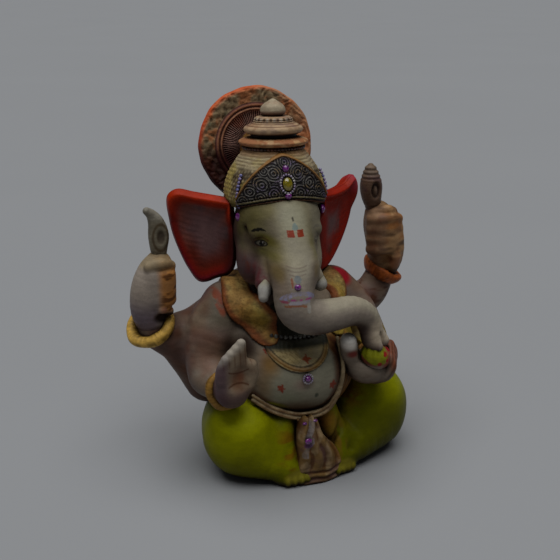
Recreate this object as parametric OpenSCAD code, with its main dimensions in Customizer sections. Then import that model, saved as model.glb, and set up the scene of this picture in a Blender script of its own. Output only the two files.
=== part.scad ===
// Seated elephant-headed temple idol, cast in plaster and painted, put together from
// separate castings on a core rod with wire pins. Front faces -Y, +Z is up, and the
// origin is the middle of the flat underside.

/* [Overall] */
// Height of the idol from the table to the top of the halo
idol_h = 220; // [150:5:320]

/* [Body] */
// Half width of the belly
belly_r = 33; // [30:1:36]
// Diameter of the rolled sash round the belly
sash_d = 5; // [3:0.5:7]
// Beads of the necklace
neck_beads = 11; // [7:2:11]
// Diameter of one bead of the necklace
neck_bead_d = 3.4; // [2.5:0.1:4]

/* [Head and crown] */
// Turn of the head towards its right shoulder, in degrees
head_turn = 10; // [0:1:15]
// Radius of the crown's dome
crown_r = 29; // [28:0.5:31]
// Radius of the halo disc
halo_r = 35; // [32:0.5:38]
// Thickness of an ear's rim
ear_t = 6; // [4:0.5:8]
// Beads on each hanging string of the crown
string_beads = 9; // [5:1:12]
// Beads round the crown's neck ring
ring_beads = 30; // [18:2:40]

/* [Arms] */
// Thickness of a bangle's rim
bangle_d = 5; // [4:0.5:6]

/* [Joints] */
// Diameter of the core rod that the castings are threaded on
rod_d = 8; // [6:0.5:10]
// Diameter of the wire pins in the arms, ears, tusks and finial
pin_d = 2.4; // [1.6:0.2:3]
// Gap all round a rod or a pin in its socket
socket_gap = 0.1; // [0.05:0.05:0.2]

/* [Hidden] */

design_h = 220;        // height that the places below are drawn for
big = 300;             // a cutting block larger than the idol
spline_steps = 2;      // rings from one station of a limb to the next
cap_angles = [45];     // rings of a limb's rounded end

cream = [0.80, 0.74, 0.66];
lime = [0.66, 0.70, 0.06];
gold = [0.72, 0.52, 0.20];
orange = [0.85, 0.30, 0.10];
brown = [0.50, 0.33, 0.22];
violet = [0.45, 0.10, 0.60];
wood = [0.72, 0.58, 0.36];
steel = [0.62, 0.62, 0.64];

// ---- swept limbs -------------------------------------------------------------

function unit(v) = v / norm(v);
function place(p) = [p[0], p[1], p[2]];

// A point on the smooth curve through the stations p, u of the way from station i.
function spline_at(p, i, u) =
    let (last = len(p) - 1, a = p[max(i - 1, 0)], b = p[i], c = p[min(i + 1, last)], d = p[min(i + 2,
        last)])
    0.5 * (2 * b + (c - a) * u + (2 * a - 5 * b + 4 * c - d) * u * u
        + (3 * b - a - 3 * c + d) * u * u * u);

function spline(p, steps) =
    concat([for (i = [0:len(p) - 2], s = [0:steps - 1]) spline_at(p, i, s / steps)], [p[len(p) - 1]]);

function ring_at(c, along, level, ra, rb, sides) =
    let (side = unit(cross(along, level)), up = cross(along, side))
    [for (k = [0:sides - 1]) let (a = 360 * k / sides) c + side * ra * cos(a) + up * rb * sin(a)];

function tangent(path, i) =
    unit(place(path[min(i + 1, len(path) - 1)]) - place(path[max(i - 1, 0)]));

// Closed skin over a list of rings, with a point at each end.
module skin(rings, first, last) {
    n = len(rings[0]);
    m = len(rings);
    points = concat([first], [for (r = rings, p = r) p], [last]);
    sides_of = [for (i = [0:m - 2], j = [0:n - 1], k = [0:1])
        let (a = 1 + i * n + j, b = 1 + i * n + (j + 1) % n)
        k == 0 ? [a, b + n, b] : [a, a + n, b + n]];
    start_of = [for (j = [0:n - 1]) [0, 1 + j, 1 + (j + 1) % n]];
    end_of = [for (j = [0:n - 1]) [1 + m * n, 1 + (m - 1) * n + (j + 1) % n, 1 + (m - 1) * n + j]];
    polyhedron(points, concat(start_of, sides_of, end_of));
}

// A limb through stations [x, y, z, half width, half depth], with round or flat ends.
module limb(stations, sides = 14, level = [0, 1, 0], start_round = 1, end_round = 1,
    steps = spline_steps) {
    path = spline(stations, steps);
    last = len(path) - 1;
    t0 = tangent(path, 0);
    t1 = tangent(path, last);
    p0 = path[0];
    p1 = path[last];
    r0 = min(p0[3], p0[4]) * start_round;
    r1 = min(p1[3], p1[4]) * end_round;
    start_cap = start_round == 0 ? [] : [for (i = [len(cap_angles) - 1:-1:0]) let (a = cap_angles[i])
        ring_at(place(p0) - t0 * r0 * sin(a), t0, level, p0[3] * cos(a), p0[4] * cos(a), sides)];
    end_cap = end_round == 0 ? [] : [for (a = cap_angles)
        ring_at(place(p1) + t1 * r1 * sin(a), t1, level, p1[3] * cos(a), p1[4] * cos(a), sides)];
    middle = [for (i = [0:last]) ring_at(place(path[i]), tangent(path, i), level, path[i][3],
        path[i][4], sides)];
    skin(concat(start_cap, middle, end_cap), place(p0) - t0 * r0, place(p1) + t1 * r1);
}

// An egg-shaped mass with its own half sizes.
module mass(c, r, sides = 16) {
    lats = [-66, -42, -20, 0, 20, 42, 66];
    skin([for (a = lats) [for (k = [0:sides - 1]) let (b = 360 * k / sides)
            c + [r[0] * cos(a) * cos(b), r[1] * cos(a) * sin(b), r[2] * sin(a)]]],
        c - [0, 0, r[2]], c + [0, 0, r[2]]);
}

// Level rings through stations [x, y, z, half width, half depth], with flat ends.
module loft(stations, sides = 18) {
    path = spline(stations, 2);
    last = len(path) - 1;
    skin([for (p = path) [for (k = [0:sides - 1]) let (a = 360 * k / sides) place(p) + [p[3] * cos(a),
        p[4] * sin(a), 0]]],
        place(path[0]), place(path[last]));
}

// Keeps a carved piece as one mesh, at its own size.
module carved() resize([0, 0, 0]) difference() {
    children(0);
    children([1:$children - 1]);
}

module above_table() {
    intersection() {
        union() children();
        translate([-big / 2, -big / 2, 0]) cube(big);
    }
}

// Stands its child on point a, with the child's +Z turned to point at b.
module aim(a, b) {
    way = b - a;
    translate(a) rotate([0, acos(way[2] / norm(way)), atan2(way[1], way[0])]) children();
}

module pin_between(a, b, d) aim(a, b) cylinder(h = norm(b - a), d = d, $fn = 16);

// ---- lap and torso -----------------------------------------------------------

rod_foot = [-2, 6, 10];
rod_top = [-5, 1, 172];

module rod_hole() pin_between(rod_foot - [0, 0, 12], rod_top, rod_d + 2 * socket_gap);

module seat_blank() loft([[2, 8, 0, 43, 33], [2, 8, 12, 46, 36], [1, 7, 30, 44, 34], [0, 4, 44, 34, 28]]);

// Waist, round belly, chest and shoulders as one smooth body.
torso_stations = [[0, -8, 34, 30, 26], [-1, -16, 45, belly_r + 1, 31], [-1, -18, 56, belly_r + 4, 35],
    [-1, -18, 67, belly_r + 5, 35], [-1, -14, 79, belly_r + 6, 32], [-1, -6, 90, belly_r + 6, 27],
    [-1, 1, 100, belly_r + 1, 22], [-2, 6, 109, 24, 18], [-3, 7, 117, 16, 15]];

module torso_blank(grow = 0) loft([for (p = torso_stations) p + [0, 0, 0, grow, grow]], sides = 20);

module seat_block() color(lime) carved() {
    seat_blank();
    rod_hole();
    translate([rod_foot[0], rod_foot[1], -1]) cylinder(h = 5, r = 10, $fn = 36);
}

module base_plug() color(wood) translate([rod_foot[0], rod_foot[1], 0]) {
    cylinder(h = 3.9, r = 9.9);
}

module core_rod() color(wood) pin_between(rod_foot, rod_top, rod_d);

module torso() color(cream) carved() {
    torso_blank();
    seat_blank();
    rod_hole();
    arm_sockets();
}

module right_leg_blank() above_table() {
    limb([[-14, 12, 26, 22, 24], [-30, -8, 25, 25, 25], [-34, -25, 24, 25, 25]], sides = 16);
    limb([[-38, -28, 19, 18, 18], [-24, -39, 13, 13, 13],
        [-8, -44, 8, 8, 8]], sides = 12, level = [0, 0, 1]);
}

module left_leg_blank() above_table() {
    limb([[16, 12, 27, 23, 25], [34, -6, 27, 27, 27], [46, -22, 27, 29, 29]], sides = 16);
    limb([[48, -28, 20, 20, 20], [30, -39, 14, 14, 14],
        [14, -44, 8, 8, 8]], sides = 12, level = [0, 0, 1]);
}

module right_leg() color(lime) carved() {
    right_leg_blank();
    seat_blank();
    torso_blank();
}

module left_leg() color(lime) carved() {
    left_leg_blank();
    seat_blank();
    torso_blank();
}

module foot_blank(c, r) above_table() mass(c, r, sides = 12);
module right_foot_blank() foot_blank([-14, -48, 5], [12, 7, 7]);
module left_foot_blank() foot_blank([18, -47, 5], [9, 7, 7]);

module right_foot() color(lime) carved() { right_foot_blank(); right_leg_blank(); }
module left_foot() color(lime) carved() { left_foot_blank(); left_leg_blank(); }

module pleats_blank()
    loft([[-2, -49, 0, 15, 7], [-1, -49, 8, 14, 7], [-3, -49.5, 20, 10, 7], [-5, -49.5, 31, 7, 6],
        [-6, -48, 38, 5, 5]], sides = 14);

module dhoti_pleats() color(cream) carved() {
    pleats_blank();
    seat_blank();
    torso_blank();
    right_leg_blank();
    left_leg_blank();
    right_foot_blank();
    left_foot_blank();
}

// ---- ornaments on the body ---------------------------------------------------

sash_path = [[-33, -35, 52], [-24, -42, 46], [-12, -46.5, 41.5], [0, -47, 40.6], [12, -46, 43.5],
    [23, -43.5, 51], [30, -39, 61], [33, -33.5, 73], [33, -25, 86]];

module sash_blank()
    limb([for (p = sash_path) [p[0], p[1], p[2], sash_d / 2, sash_d / 2]], sides = 8, level = [0.3, 1,
        0.1]);

module waist_sash() color(brown) carved() {
    sash_blank();
    torso_blank();
    right_leg_blank();
    left_leg_blank();
    pleats_blank();
}

// Crescent plate that hangs on the upper belly.
module pectoral_blank() intersection() {
    torso_blank(1.6);
    translate([-4, 0, 90]) rotate([90, 0, 0]) cylinder(h = 80, r = 21, $fn = 28);
    translate([-40, -80, 60]) cube([80, 62, 24]);
}

module pectoral() color(gold) carved() {
    pectoral_blank();
    torso_blank();
}

neck_half_turn = 40;
// Beads that follow the upper chest from side to side, low in the middle.
module bead_necklace() color(steel)
    for (k = [0:neck_beads - 1])
        let (a = neck_half_turn * (2 * k / (neck_beads - 1) - 1))
        translate([-2 + 30 * sin(a), -15 - 24.6 * cos(a), 92.5 - 6 * cos(a)]) sphere(d = neck_bead_d,
            $fn = 16);

module navel_gem() color(violet) translate([-7, -52.3, 65]) rotate([90, 0, -6]) {
    difference() {
        cylinder(h = 2.6, r = 4.2, $fn = 32);
        translate([0, 0, 1]) cylinder(h = 2, r = 3, $fn = 32);
    }
    translate([0, 0, 1]) cylinder(h = 2.8, r1 = 3, r2 = 1.2, $fn = 32);
}

module right_shawl_blank()
    limb([[-32, -2, 115, 9, 3], [-33, -18, 108, 10, 3.4], [-29, -32, 98, 10.5, 3.6],
        [-22, -41, 90, 10, 3.6], [-15, -46, 85, 7, 3]],
        level = [-0.55, -0.75, 0.5], sides = 10);

module left_shawl_blank()
    limb([[24, -2, 111, 7, 3], [29, -16, 105, 8, 3], [27, -27, 96, 9, 3], [22, -35, 88, 8, 3]],
        level = [0.5, -0.75, 0.5], sides = 10);

module right_shawl() color(gold) carved() {
    right_shawl_blank();
    torso_blank();
    right_front_arm_blank();
    head_blank();
    trunk_blank();
    pectoral_blank();
}

module left_shawl() color(brown) carved() {
    left_shawl_blank();
    torso_blank();
    left_front_arm_blank();
    head_blank();
    trunk_blank();
    sash_blank();
}

// ---- arms --------------------------------------------------------------------
// Each arm ends flat at its bangle, and its hand starts at the bangle's other face.

right_rear_stations = [[-26, 10, 80, 26, 16], [-42, 10, 76, 25, 15], [-54, 10, 77, 18, 13],
    [-64, 9, 80, 12.5, 11.5],
    [-72, 8, 81, 10, 10.5], [-76.5, 8, 83.5, 9.2, 10], [-77.5, 8, 85.5, 9, 9]];
left_rear_stations = [[28, 12, 84, 18, 15], [46, 15, 80, 15, 13], [62, 15, 81, 12, 12],
    [71.5, 15, 86, 10.4, 11], [76.4, 15, 93, 9.4, 10], [78.6, 15, 97.5, 9, 9]];
right_front_stations = [[-50, -14, 62, 13, 13], [-51, -24, 61, 11, 11], [-51, -32, 61, 9, 9],
    [-51, -35, 61.5, 9, 9]];
left_front_stations = [[51, -18, 66, 12, 12], [49, -27, 65, 10.5, 10.5], [45, -35, 64.5, 9, 9],
    [43, -38, 64.5, 9, 9]];

function end_point(stations) = place(stations[len(stations) - 1]);
function end_way(stations) = unit(end_point(stations) - place(stations[len(stations) - 2]));
function hand_root(stations,
    further = 0) = end_point(stations) + end_way(stations) * (bangle_d + further);

module right_front_arm_blank() {
    limb([[-35, -1, 97, 16, 15], [-44, -5, 86, 16, 16], [-50, -9, 72, 14, 14],
        [-51, -14, 63, 13, 13]], sides = 12);
    limb(right_front_stations, sides = 12, end_round = 0, level = [0, 0, 1]);
}

module left_front_arm_blank() {
    limb([[34, 0, 97, 16, 16], [45, -5, 85, 15, 15], [52, -12, 72, 12.5, 12.5],
        [51, -18, 66, 12, 12]], sides = 12);
    limb(left_front_stations, sides = 12, end_round = 0, level = [0, 0, 1]);
}

module right_rear_arm_blank() limb(right_rear_stations, sides = 14, end_round = 0);
module left_rear_arm_blank() limb(left_rear_stations, sides = 12, end_round = 0);

module right_front_arm() color(cream) carved() {
    right_front_arm_blank();
    torso_blank();
    right_leg_blank();
    right_rear_arm_blank();
    arm_sockets();
}

module left_front_arm() color(cream) carved() {
    left_front_arm_blank();
    torso_blank();
    left_leg_blank();
    sash_blank();
    left_rear_arm_blank();
    arm_sockets();
}

module right_rear_arm() color(cream) carved() {
    right_rear_arm_blank();
    torso_blank();
    seat_blank();
    right_leg_blank();
    arm_sockets();
}

module left_rear_arm() color(cream) carved() {
    left_rear_arm_blank();
    torso_blank();
    left_leg_blank();
    arm_sockets();
}

// Round rim with a flat web in it that the wrist's wire pin passes through.
module bangle(stations, r) aim(end_point(stations), hand_root(stations)) difference() {
    union() {
        cylinder(h = bangle_d, r = r - bangle_d / 2, $fn = 40);
        translate([0, 0, bangle_d / 2]) rotate_extrude($fn = 40) translate([r - bangle_d / 2,
            0]) circle(d = bangle_d, $fn = 20);
    }
    translate([0, 0, -1]) cylinder(h = bangle_d + 2, d = pin_d + 2 * socket_gap, $fn = 16);
}

module right_front_bangle() color(gold) bangle(right_front_stations, 12);
module left_front_bangle() color(gold) bangle(left_front_stations, 11.5);
module right_rear_bangle() color(gold) bangle(right_rear_stations, 13.2);
module left_rear_bangle() color(orange) bangle(left_rear_stations, 13);

// Palm raised in blessing: heel, flat palm, four joined fingers and a thumb.
module right_front_hand_blank() {
    root = hand_root(right_front_stations);
    limb([[root[0], root[1], root[2], 9, 9], [-51, -43, 64, 9.5, 7], [-51, -45, 73, 11.5, 5.5],
        [-52, -46, 84, 10, 4.5]],
        sides = 12, start_round = 0, level = [0, 0, 1]);
    for (k = [0:3])
        limb([[-58.3 + 4.4 * k, -44.6, 77, 2.9, 3.3], [-58.2 + 4.6 * k, -47.2, 84.2 + 1.4 * k, 2.8, 3],
            [-57 + 3.9 * k, -48.6, 85.7 + 2.8 * k, 2, 2.4]],
            sides = 10, steps = 1);
    limb([[-43.3, -43.2, 65.5, 4, 4.4], [-40, -46.1, 74, 3.4, 3.6],
        [-38.4, -48.2, 79, 2.6, 2.8]], sides = 10, steps = 1);
}

module right_front_hand() color(cream) carved() {
    right_front_hand_blank();
    right_leg_blank();
    torso_blank();
    sash_blank();
    arm_sockets();
}

// Cupped hand under the sweet, thumb up, fingers closing from outside.
module left_front_hand_blank() {
    root = hand_root(left_front_stations);
    limb([[root[0], root[1], root[2], 9, 9], [35, -47, 65, 11, 11], [30, -51, 67, 12, 11]],
        sides = 12, start_round = 0, level = [0, 0, 1]);
    limb([[24, -48, 72, 5, 5], [20, -51, 79, 4.6, 4.6], [18.5, -52, 85, 4.4, 4.4]], sides = 8, steps = 1);
    for (k = [0:3])
        limb([[40, -48 - 3 * k, 60 + 0.8 * k, 3, 3], [47 - k, -50 - 3 * k, 63 + 0.6 * k, 3, 3],
            [48 - 1.6 * k, -51.5 - 3 * k, 68, 2.6, 2.6]],
            sides = 8, steps = 1);
}

module left_front_hand() color(cream) carved() {
    left_front_hand_blank();
    left_leg_blank();
    torso_blank();
    sash_blank();
    sweet_blank();
    arm_sockets();
}

module sweet_blank() mass([35, -56, 74], [9, 8.5, 8], sides = 14);

module sweet() color(lime) carved() {
    sweet_blank();
    trunk_blank();
}

// Fist closed round an upright stem: back of the hand, four wrapped fingers and a thumb.
module fist(stations, top, out) {
    root = hand_root(stations);
    up = hand_root(stations, 4);
    rise = place(top) - root;
    limb([[root[0], root[1], root[2], 8.8, 8.8],
        [up[0], up[1], up[2], 9.8, 9], root_at(root, rise, 0.5, out * 1.6, 11, 9.5),
            root_at(root, rise, 0.8, 0, 8.5, 8)], sides = 12, start_round = 0);
    for (k = [0:3])
        let (p = root + rise * (0.3 + 0.15 * k))
        limb([[p[0] + out * 4, p[1] - 9, p[2], 2.9, 2.9], [p[0] - out * 2, p[1] - 9.5, p[2], 2.9, 2.9],
            [p[0] - out * 6.5, p[1] - 5, p[2], 2.7, 2.7]],
            sides = 8, steps = 1, level = [0, 0, 1]);
}

function root_at(root, rise, u, shift, ra, rb) =
    [root[0] + rise[0] * u + shift, root[1] + rise[1] * u, root[2] + rise[2] * u, ra, rb];

module right_rear_hand_blank() fist(right_rear_stations, [-72, 8, 130], -1);
module left_rear_hand_blank() fist(left_rear_stations, [74.5, 14, 144], 1);

module right_rear_hand() color(cream) carved() {
    right_rear_hand_blank();
    goad_blank();
    arm_sockets();
}

module left_rear_hand() color(brown) carved() {
    left_rear_hand_blank();
    bud_blank();
    arm_sockets();
}

// Goad: a leaf-shaped blade with an oval eye, its tip hooked outwards.
module goad_blank()
    limb([[-72, 8, 112, 2.6, 2.6], [-70.5, 8, 124, 3.6, 3.2], [-70, 8, 132, 5.4, 3.6],
        [-71, 8, 142, 6.8, 3.8],
            [-74, 8, 151, 4.8, 3.2], [-77, 8, 156, 2.6, 2.4]], sides = 10);

module eye(at) translate(at) rotate([90, 0, 0]) linear_extrude(height = 12, center = true)
    polygon([for (k = [0:13]) let (a = 360 * k / 14) [2.4 * cos(a), 4 * sin(a)]]);

module right_goad() color(cream) carved() {
    goad_blank();
    eye([-70.6, 8, 141]);
}

// Closed lotus bud on its stem.
module bud_blank()
    limb([[74, 14, 126, 2.8, 2.8], [71, 14, 138, 4, 3.6], [69.8, 14, 147, 4.8, 4],
        [69.5, 14, 156, 6.8, 5],
            [69, 14, 163, 5, 4], [68.8, 14, 167, 2.6, 2.4]], sides = 10);

module left_lotus_bud() color(brown) carved() {
    bud_blank();
    eye([69.5, 8, 155]);
}

// ---- head --------------------------------------------------------------------

head_at = [-4.5, -9, 143];

module turned() translate([head_at[0], 0, 0]) rotate([0, 0, -head_turn]) translate([-head_at[0], 0,
    0]) children();

module head_blank() turned() {
    mass(head_at, [25, 27, 31]);
    limb([[head_at[0], -20, 146, 18, 18], [head_at[0], -32, 134, 16, 14],
        [head_at[0], -39, 124, 13, 12]], sides = 14);
    for (side = [-1, 1])
        mass([head_at[0] + side * 15, -20, 126], [11, 13, 13], sides = 10);
    loft([[head_at[0], 4, 106, 16, 14], [head_at[0], 2, 115, 16, 14],
        [head_at[0], 0, 126, 18, 16]], sides = 14);
}

trunk_stations = [[-12, -45, 130, 12, 12], [-16, -52, 118, 11.2, 11.2], [-15, -55, 109, 10.8, 10.8],
    [-6, -56, 104, 10, 10],
    [7, -56, 103, 9, 9], [19, -55, 103, 8.2, 8.2], [28, -54, 98, 7.4, 7.4], [32, -54, 90, 6.8, 6.8],
        [32, -55, 83, 6, 6]];

module trunk_blank() limb(trunk_stations, sides = 14, level = [0.05, 1, 0.25]);

module head() color(cream) carved() {
    head_blank();
    above_rim();
    torso_blank();
    rod_hole();
    ear_pin_solids(pin_d + 2 * socket_gap);
    tusk_pin_solids(pin_d + 2 * socket_gap);
}

module trunk() color(cream) carved() {
    trunk_blank();
    head_blank();
    left_front_hand_blank();
}

tusk_run = [[14, -36, 124, 3.5], [17, -42, 119, 3.4],
    [19, -46, 113, 2.8]];   // right tusk, from the head's middle plane
tusk_stub = 0.62;   // length of the left tusk, as a part of the right one's

module tusk_blank(side) turned()
    let (c = tusk_run[0], keep = side < 0 ? 1 : tusk_stub)
    limb([for (p = tusk_run) let (q = c + (p - c) * keep) [head_at[0] + side * q[0], q[1], q[2], q[3],
        q[3]]], sides = 10);

module tusk(side) color("white") carved() {
    tusk_blank(side);
    head_blank();
    trunk_blank();
    tusk_pin_solids(pin_d + 2 * socket_gap);
}

module right_tusk() tusk(-1);
module left_tusk() tusk(1);

// Fan-shaped ear with a rolled top edge, dished on its front face.
ear_outline = [[-3, 20], [9, 19], [22, 21], [32, 25], [34, 14], [31, 0], [23, -14], [12, -26],
    [4, -30], [-3, -26]];
// How far each ear is swept back from the face's plane: right, then left
ear_sweep = [24, 36];

module ear_frame(side) turned() translate([head_at[0] + side * 26, -1, 142])
    rotate([0, 0, side < 0 ? -ear_sweep[0] : ear_sweep[1]]) scale([side, 1, 1]) children();

module ear(side) color(orange) carved() {
    ear_frame(side) hull()
        for (p = ear_outline)
            translate([p[0], 0, p[1]]) sphere(d = ear_t, $fn = 10);
    ear_frame(side) translate([14, -13, -3]) scale([1, 0.75, 1.35]) sphere(r = 16, $fn = 20);
    head_blank();
    on_crown() cylinder(h = dome_h, r = crown_r + 0.3, $fn = 36);
    torso_blank();
    right_front_arm_blank();
    left_front_arm_blank();
    ear_pin_solids(pin_d + 2 * socket_gap);
}

module right_ear() ear(-1);
module left_ear() ear(1);

// ---- crown -------------------------------------------------------------------

crown_at = [-4.5, -3, 158];
crown_lean = 3;
dome_profile = [[0.95, 0], [1, 4], [0.98, 10], [0.91, 16], [0.80, 22], [0.68, 27], [0.56, 31],
    [0.52, 32]];
dome_h = 32;
neck_r = 14;
ring_r = 17.2;  // radius that the ring beads are set on
tier_z = 39;    // height of the tier's underside above the rim
tier_h = 9.4;
finial_z = tier_z + tier_h;

module on_crown() turned() translate(crown_at) rotate([-crown_lean, 0, 0]) children();

// Everything above the plane of the crown's rim.
module above_rim() on_crown() translate([-big / 2, -big / 2, 0]) cube(big);

module dome_solid(grow = 0) rotate_extrude($fn = 60)
    polygon(concat([[0, 0]], [for (p = dome_profile) [p[0] * crown_r + grow, p[1]]],
        [[0, dome_h + grow]]));

module crown_dome() color(gold) on_crown() difference() {
    union() {
        dome_solid();
        translate([0, 0, dome_h - 1]) cylinder(h = 3, r = ring_r - 1, $fn = 48);
        translate([0, 0, dome_h + 1]) cylinder(h = tier_z - dome_h - 1, r = neck_r, $fn = 48);
    }
    translate([0, 0, -1]) cylinder(h = 18, d = rod_d + 6, $fn = 24);
    translate([0, 0, tier_z - 8]) cylinder(h = 10, d = pin_d + 2 * socket_gap, $fn = 16);
}

plate_t = 2.2;
// Leaf outline of the front plate, seen from the front.
plate_outline = [[-27, 0], [-25.5, 8], [-18, 17], [-9, 25], [0, 31], [9, 25], [18, 17], [25.5, 8],
    [27, 0],
    [17, 2.4], [9, 4.6], [0, 5.4], [-9, 4.6], [-17, 2.4]];

module crown_front_plate() color([0.25, 0.25, 0.27]) on_crown() intersection() {
    difference() {
        dome_solid(plate_t);
        dome_solid(0);
    }
    rotate([90, 0, 0]) linear_extrude(60) polygon(plate_outline);
}

stone_at = crown_r + plate_t;
module stone(z, r, back) translate([0, back - stone_at, z]) rotate([90, 0, 0])
    cylinder(h = 2, r1 = r, r2 = r * 0.6, $fn = 32);

module crown_stones() color(violet) on_crown() {
    stone(14, 4.4, 0.6);
    stone(7.5, 2.2, 0.2);
    stone(21.5, 2.2, 5.2);
}

module crown_ring_beads() color(brown) on_crown()
    for (k = [0:ring_beads - 1])
        rotate([0, 0, 360 * k / ring_beads]) translate([ring_r, 0, dome_h + 0.4]) sphere(d = 2.6,
            $fn = 16);

module crown_bead_strings() color(violet) on_crown()
    for (side = [-1, 1]) rotate([0, 0, side * 58]) translate([0, -crown_r - plate_t, 0]) {
        for (k = [1:string_beads - 1]) translate([0, 0, -2 + 2.4 * k]) sphere(d = 2.2, $fn = 16);
        translate([0, 0, -3.4]) sphere(d = 5, $fn = 24);
    }

module crown_tier() color(cream) on_crown() translate([0, 0, tier_z]) difference() {
    rotate_extrude($fn = 60) polygon([[0, 0], [13.4, 0], [15.6, 2], [15.6, 3.6], [11.6, 6.4],
        [9.4, 7.6], [9, tier_h], [0, tier_h]]);
    translate([0, 0, -1]) cylinder(h = tier_h + 2, d = pin_d + 2 * socket_gap, $fn = 16);
}

module crown_finial() color(cream) on_crown() translate([0, 0, finial_z]) difference() {
    rotate_extrude($fn = 48) polygon([[0, 0], [4.6, 0], [6.8, 1.8], [7.2, 3.6], [6.4, 5.8], [3.6, 7.6],
        [1.4, 9], [0, 9.6]]);
    translate([0, 0, -1]) cylinder(h = 5, d = pin_d + 2 * socket_gap, $fn = 16);
}

module finial_pin() color(steel) on_crown() translate([0, 0, tier_z - 7.5]) cylinder(h = tier_h + 10.5,
    d = pin_d, $fn = 16);

// ---- halo --------------------------------------------------------------------

halo_at = [-7.5, 30, 185.2];
halo_lean = 6;
halo_pin_x = 8;     // half the distance between the two pins
halo_pin_h = 12;    // reach of a pin in front of the disc's middle plane

module on_halo() turned() translate(halo_at) rotate([90 - halo_lean, 0, 0]) children();

module halo() color(orange) on_halo() difference() {
    rotate_extrude($fn = 72) polygon([[0, -3], [halo_r - 3, -3], [halo_r, -1], [halo_r, 2],
        [halo_r - 2.5, 4], [halo_r - 10, 2.4],
        [halo_r - 11.5, 3.4], [halo_r - 13.5, 3.4], [halo_r - 14.5, 1], [10, 1], [0, 1]]);
    for (x = [-halo_pin_x, halo_pin_x])
        translate([x, 0, -1]) cylinder(h = 8, d = pin_d + 2 * socket_gap, $fn = 16);
}

// Block behind the crown that the halo's face rests on.
module halo_bracket() color(gold) carved() {
    turned() translate([halo_at[0], 0, 0]) limb([[0, 16, 168, 12, 8], [0, 20, 178, 12, 8],
        [0, 22, 186, 12, 6]], sides = 10, level = [0, 1, 0]);
    on_halo() translate([-big / 2, -big / 2, 1 - big]) cube(big);
    on_crown() dome_solid();
    halo_sockets();
}

module halo_sockets() on_halo() for (x = [-halo_pin_x, halo_pin_x])
    translate([x, 0, 0]) cylinder(h = halo_pin_h + 1, d = pin_d + 2 * socket_gap, $fn = 16);

module halo_pins() color(steel) on_halo()
    for (x = [-halo_pin_x, halo_pin_x])
        translate([x, 0, -0.8]) cylinder(h = halo_pin_h, d = pin_d, $fn = 16);

// ---- pins and glued stones ---------------------------------------------------

module wrist_pin(stations, d, slack = 0) {
    back = end_point(stations) - end_way(stations) * (7 + slack);
    front = hand_root(stations, 7 + slack);
    pin_between(back, front, d);
}

module arm_pin_solids(d, slack = 0) {
    wrist_pin(right_rear_stations, d, slack);
    wrist_pin(left_rear_stations, d, slack);
    wrist_pin(right_front_stations, d, slack);
    wrist_pin(left_front_stations, d, slack);
    pin_between([-46, 10, 78], [-24, 8, 82], d);
    pin_between([46, 14, 80], [24, 8, 84], d);
    pin_between([-44, -4, 88], [-24, 0, 90], d);
    pin_between([44, -4, 88], [24, 0, 90], d);
}

module arm_sockets() arm_pin_solids(pin_d + 2 * socket_gap, 0.5);

module ear_pin_solids(d) turned()
    for (side = [-1, 1])
        pin_between([head_at[0] + side * 17, -2, 140], [head_at[0] + side * 30, 1, 140], d);

module tusk_pin_solids(d) turned()
    for (side = [-1, 1])
        pin_between([head_at[0] + side * 12, -34, 126], [head_at[0] + side * 15, -38.4, 122.4], d);

module arm_pins() color(steel) arm_pin_solids(pin_d);
module ear_pins() color(steel) ear_pin_solids(pin_d);
module tusk_pins() color(steel) tusk_pin_solids(pin_d - 0.8);

module glued_stone(at, tilt, r) translate(at) rotate(tilt) cylinder(h = 1.8, r1 = r, r2 = r * 0.6,
    $fn = 24);

module trunk_stone() color(violet) glued_stone([-18.6, -62.6, 121], [78, 0, -18], 2.2);

module dhoti_stones() color(violet) {
    glued_stone([-8, -56.6, 29], [92, 0, -8], 2.4);
    for (x = [-8.5, -3])
        glued_stone([x, -56.6, 41], [92, 0, -4], 1.5);
}

// ---- what is drawn -----------------------------------------------------------

module sized() scale(idol_h / design_h) children();

sized() seat_block();
sized() base_plug();
sized() core_rod();
sized() torso();
sized() right_leg();
sized() left_leg();
sized() right_foot();
sized() left_foot();
sized() dhoti_pleats();
sized() waist_sash();
sized() pectoral();
sized() bead_necklace();
sized() navel_gem();
sized() right_shawl();
sized() left_shawl();
sized() right_front_arm();
sized() right_front_bangle();
sized() right_front_hand();
sized() left_front_arm();
sized() left_front_bangle();
sized() left_front_hand();
sized() sweet();
sized() right_rear_arm();
sized() right_rear_bangle();
sized() right_rear_hand();
sized() right_goad();
sized() left_rear_arm();
sized() left_rear_bangle();
sized() left_rear_hand();
sized() left_lotus_bud();
sized() head();
sized() trunk();
sized() right_tusk();
sized() left_tusk();
sized() right_ear();
sized() left_ear();
sized() crown_dome();
sized() crown_front_plate();
sized() crown_stones();
sized() crown_ring_beads();
sized() crown_bead_strings();
sized() crown_tier();
sized() crown_finial();
sized() halo();
sized() halo_bracket();
sized() halo_pins();
sized() arm_pins();
sized() ear_pins();
sized() tusk_pins();
sized() finial_pin();
sized() trunk_stone();
sized() dhoti_stones();
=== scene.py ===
"""Seated elephant-headed idol in painted plaster: sculpted castings, painted skin, glued stones."""
import math
from collections import namedtuple

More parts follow.
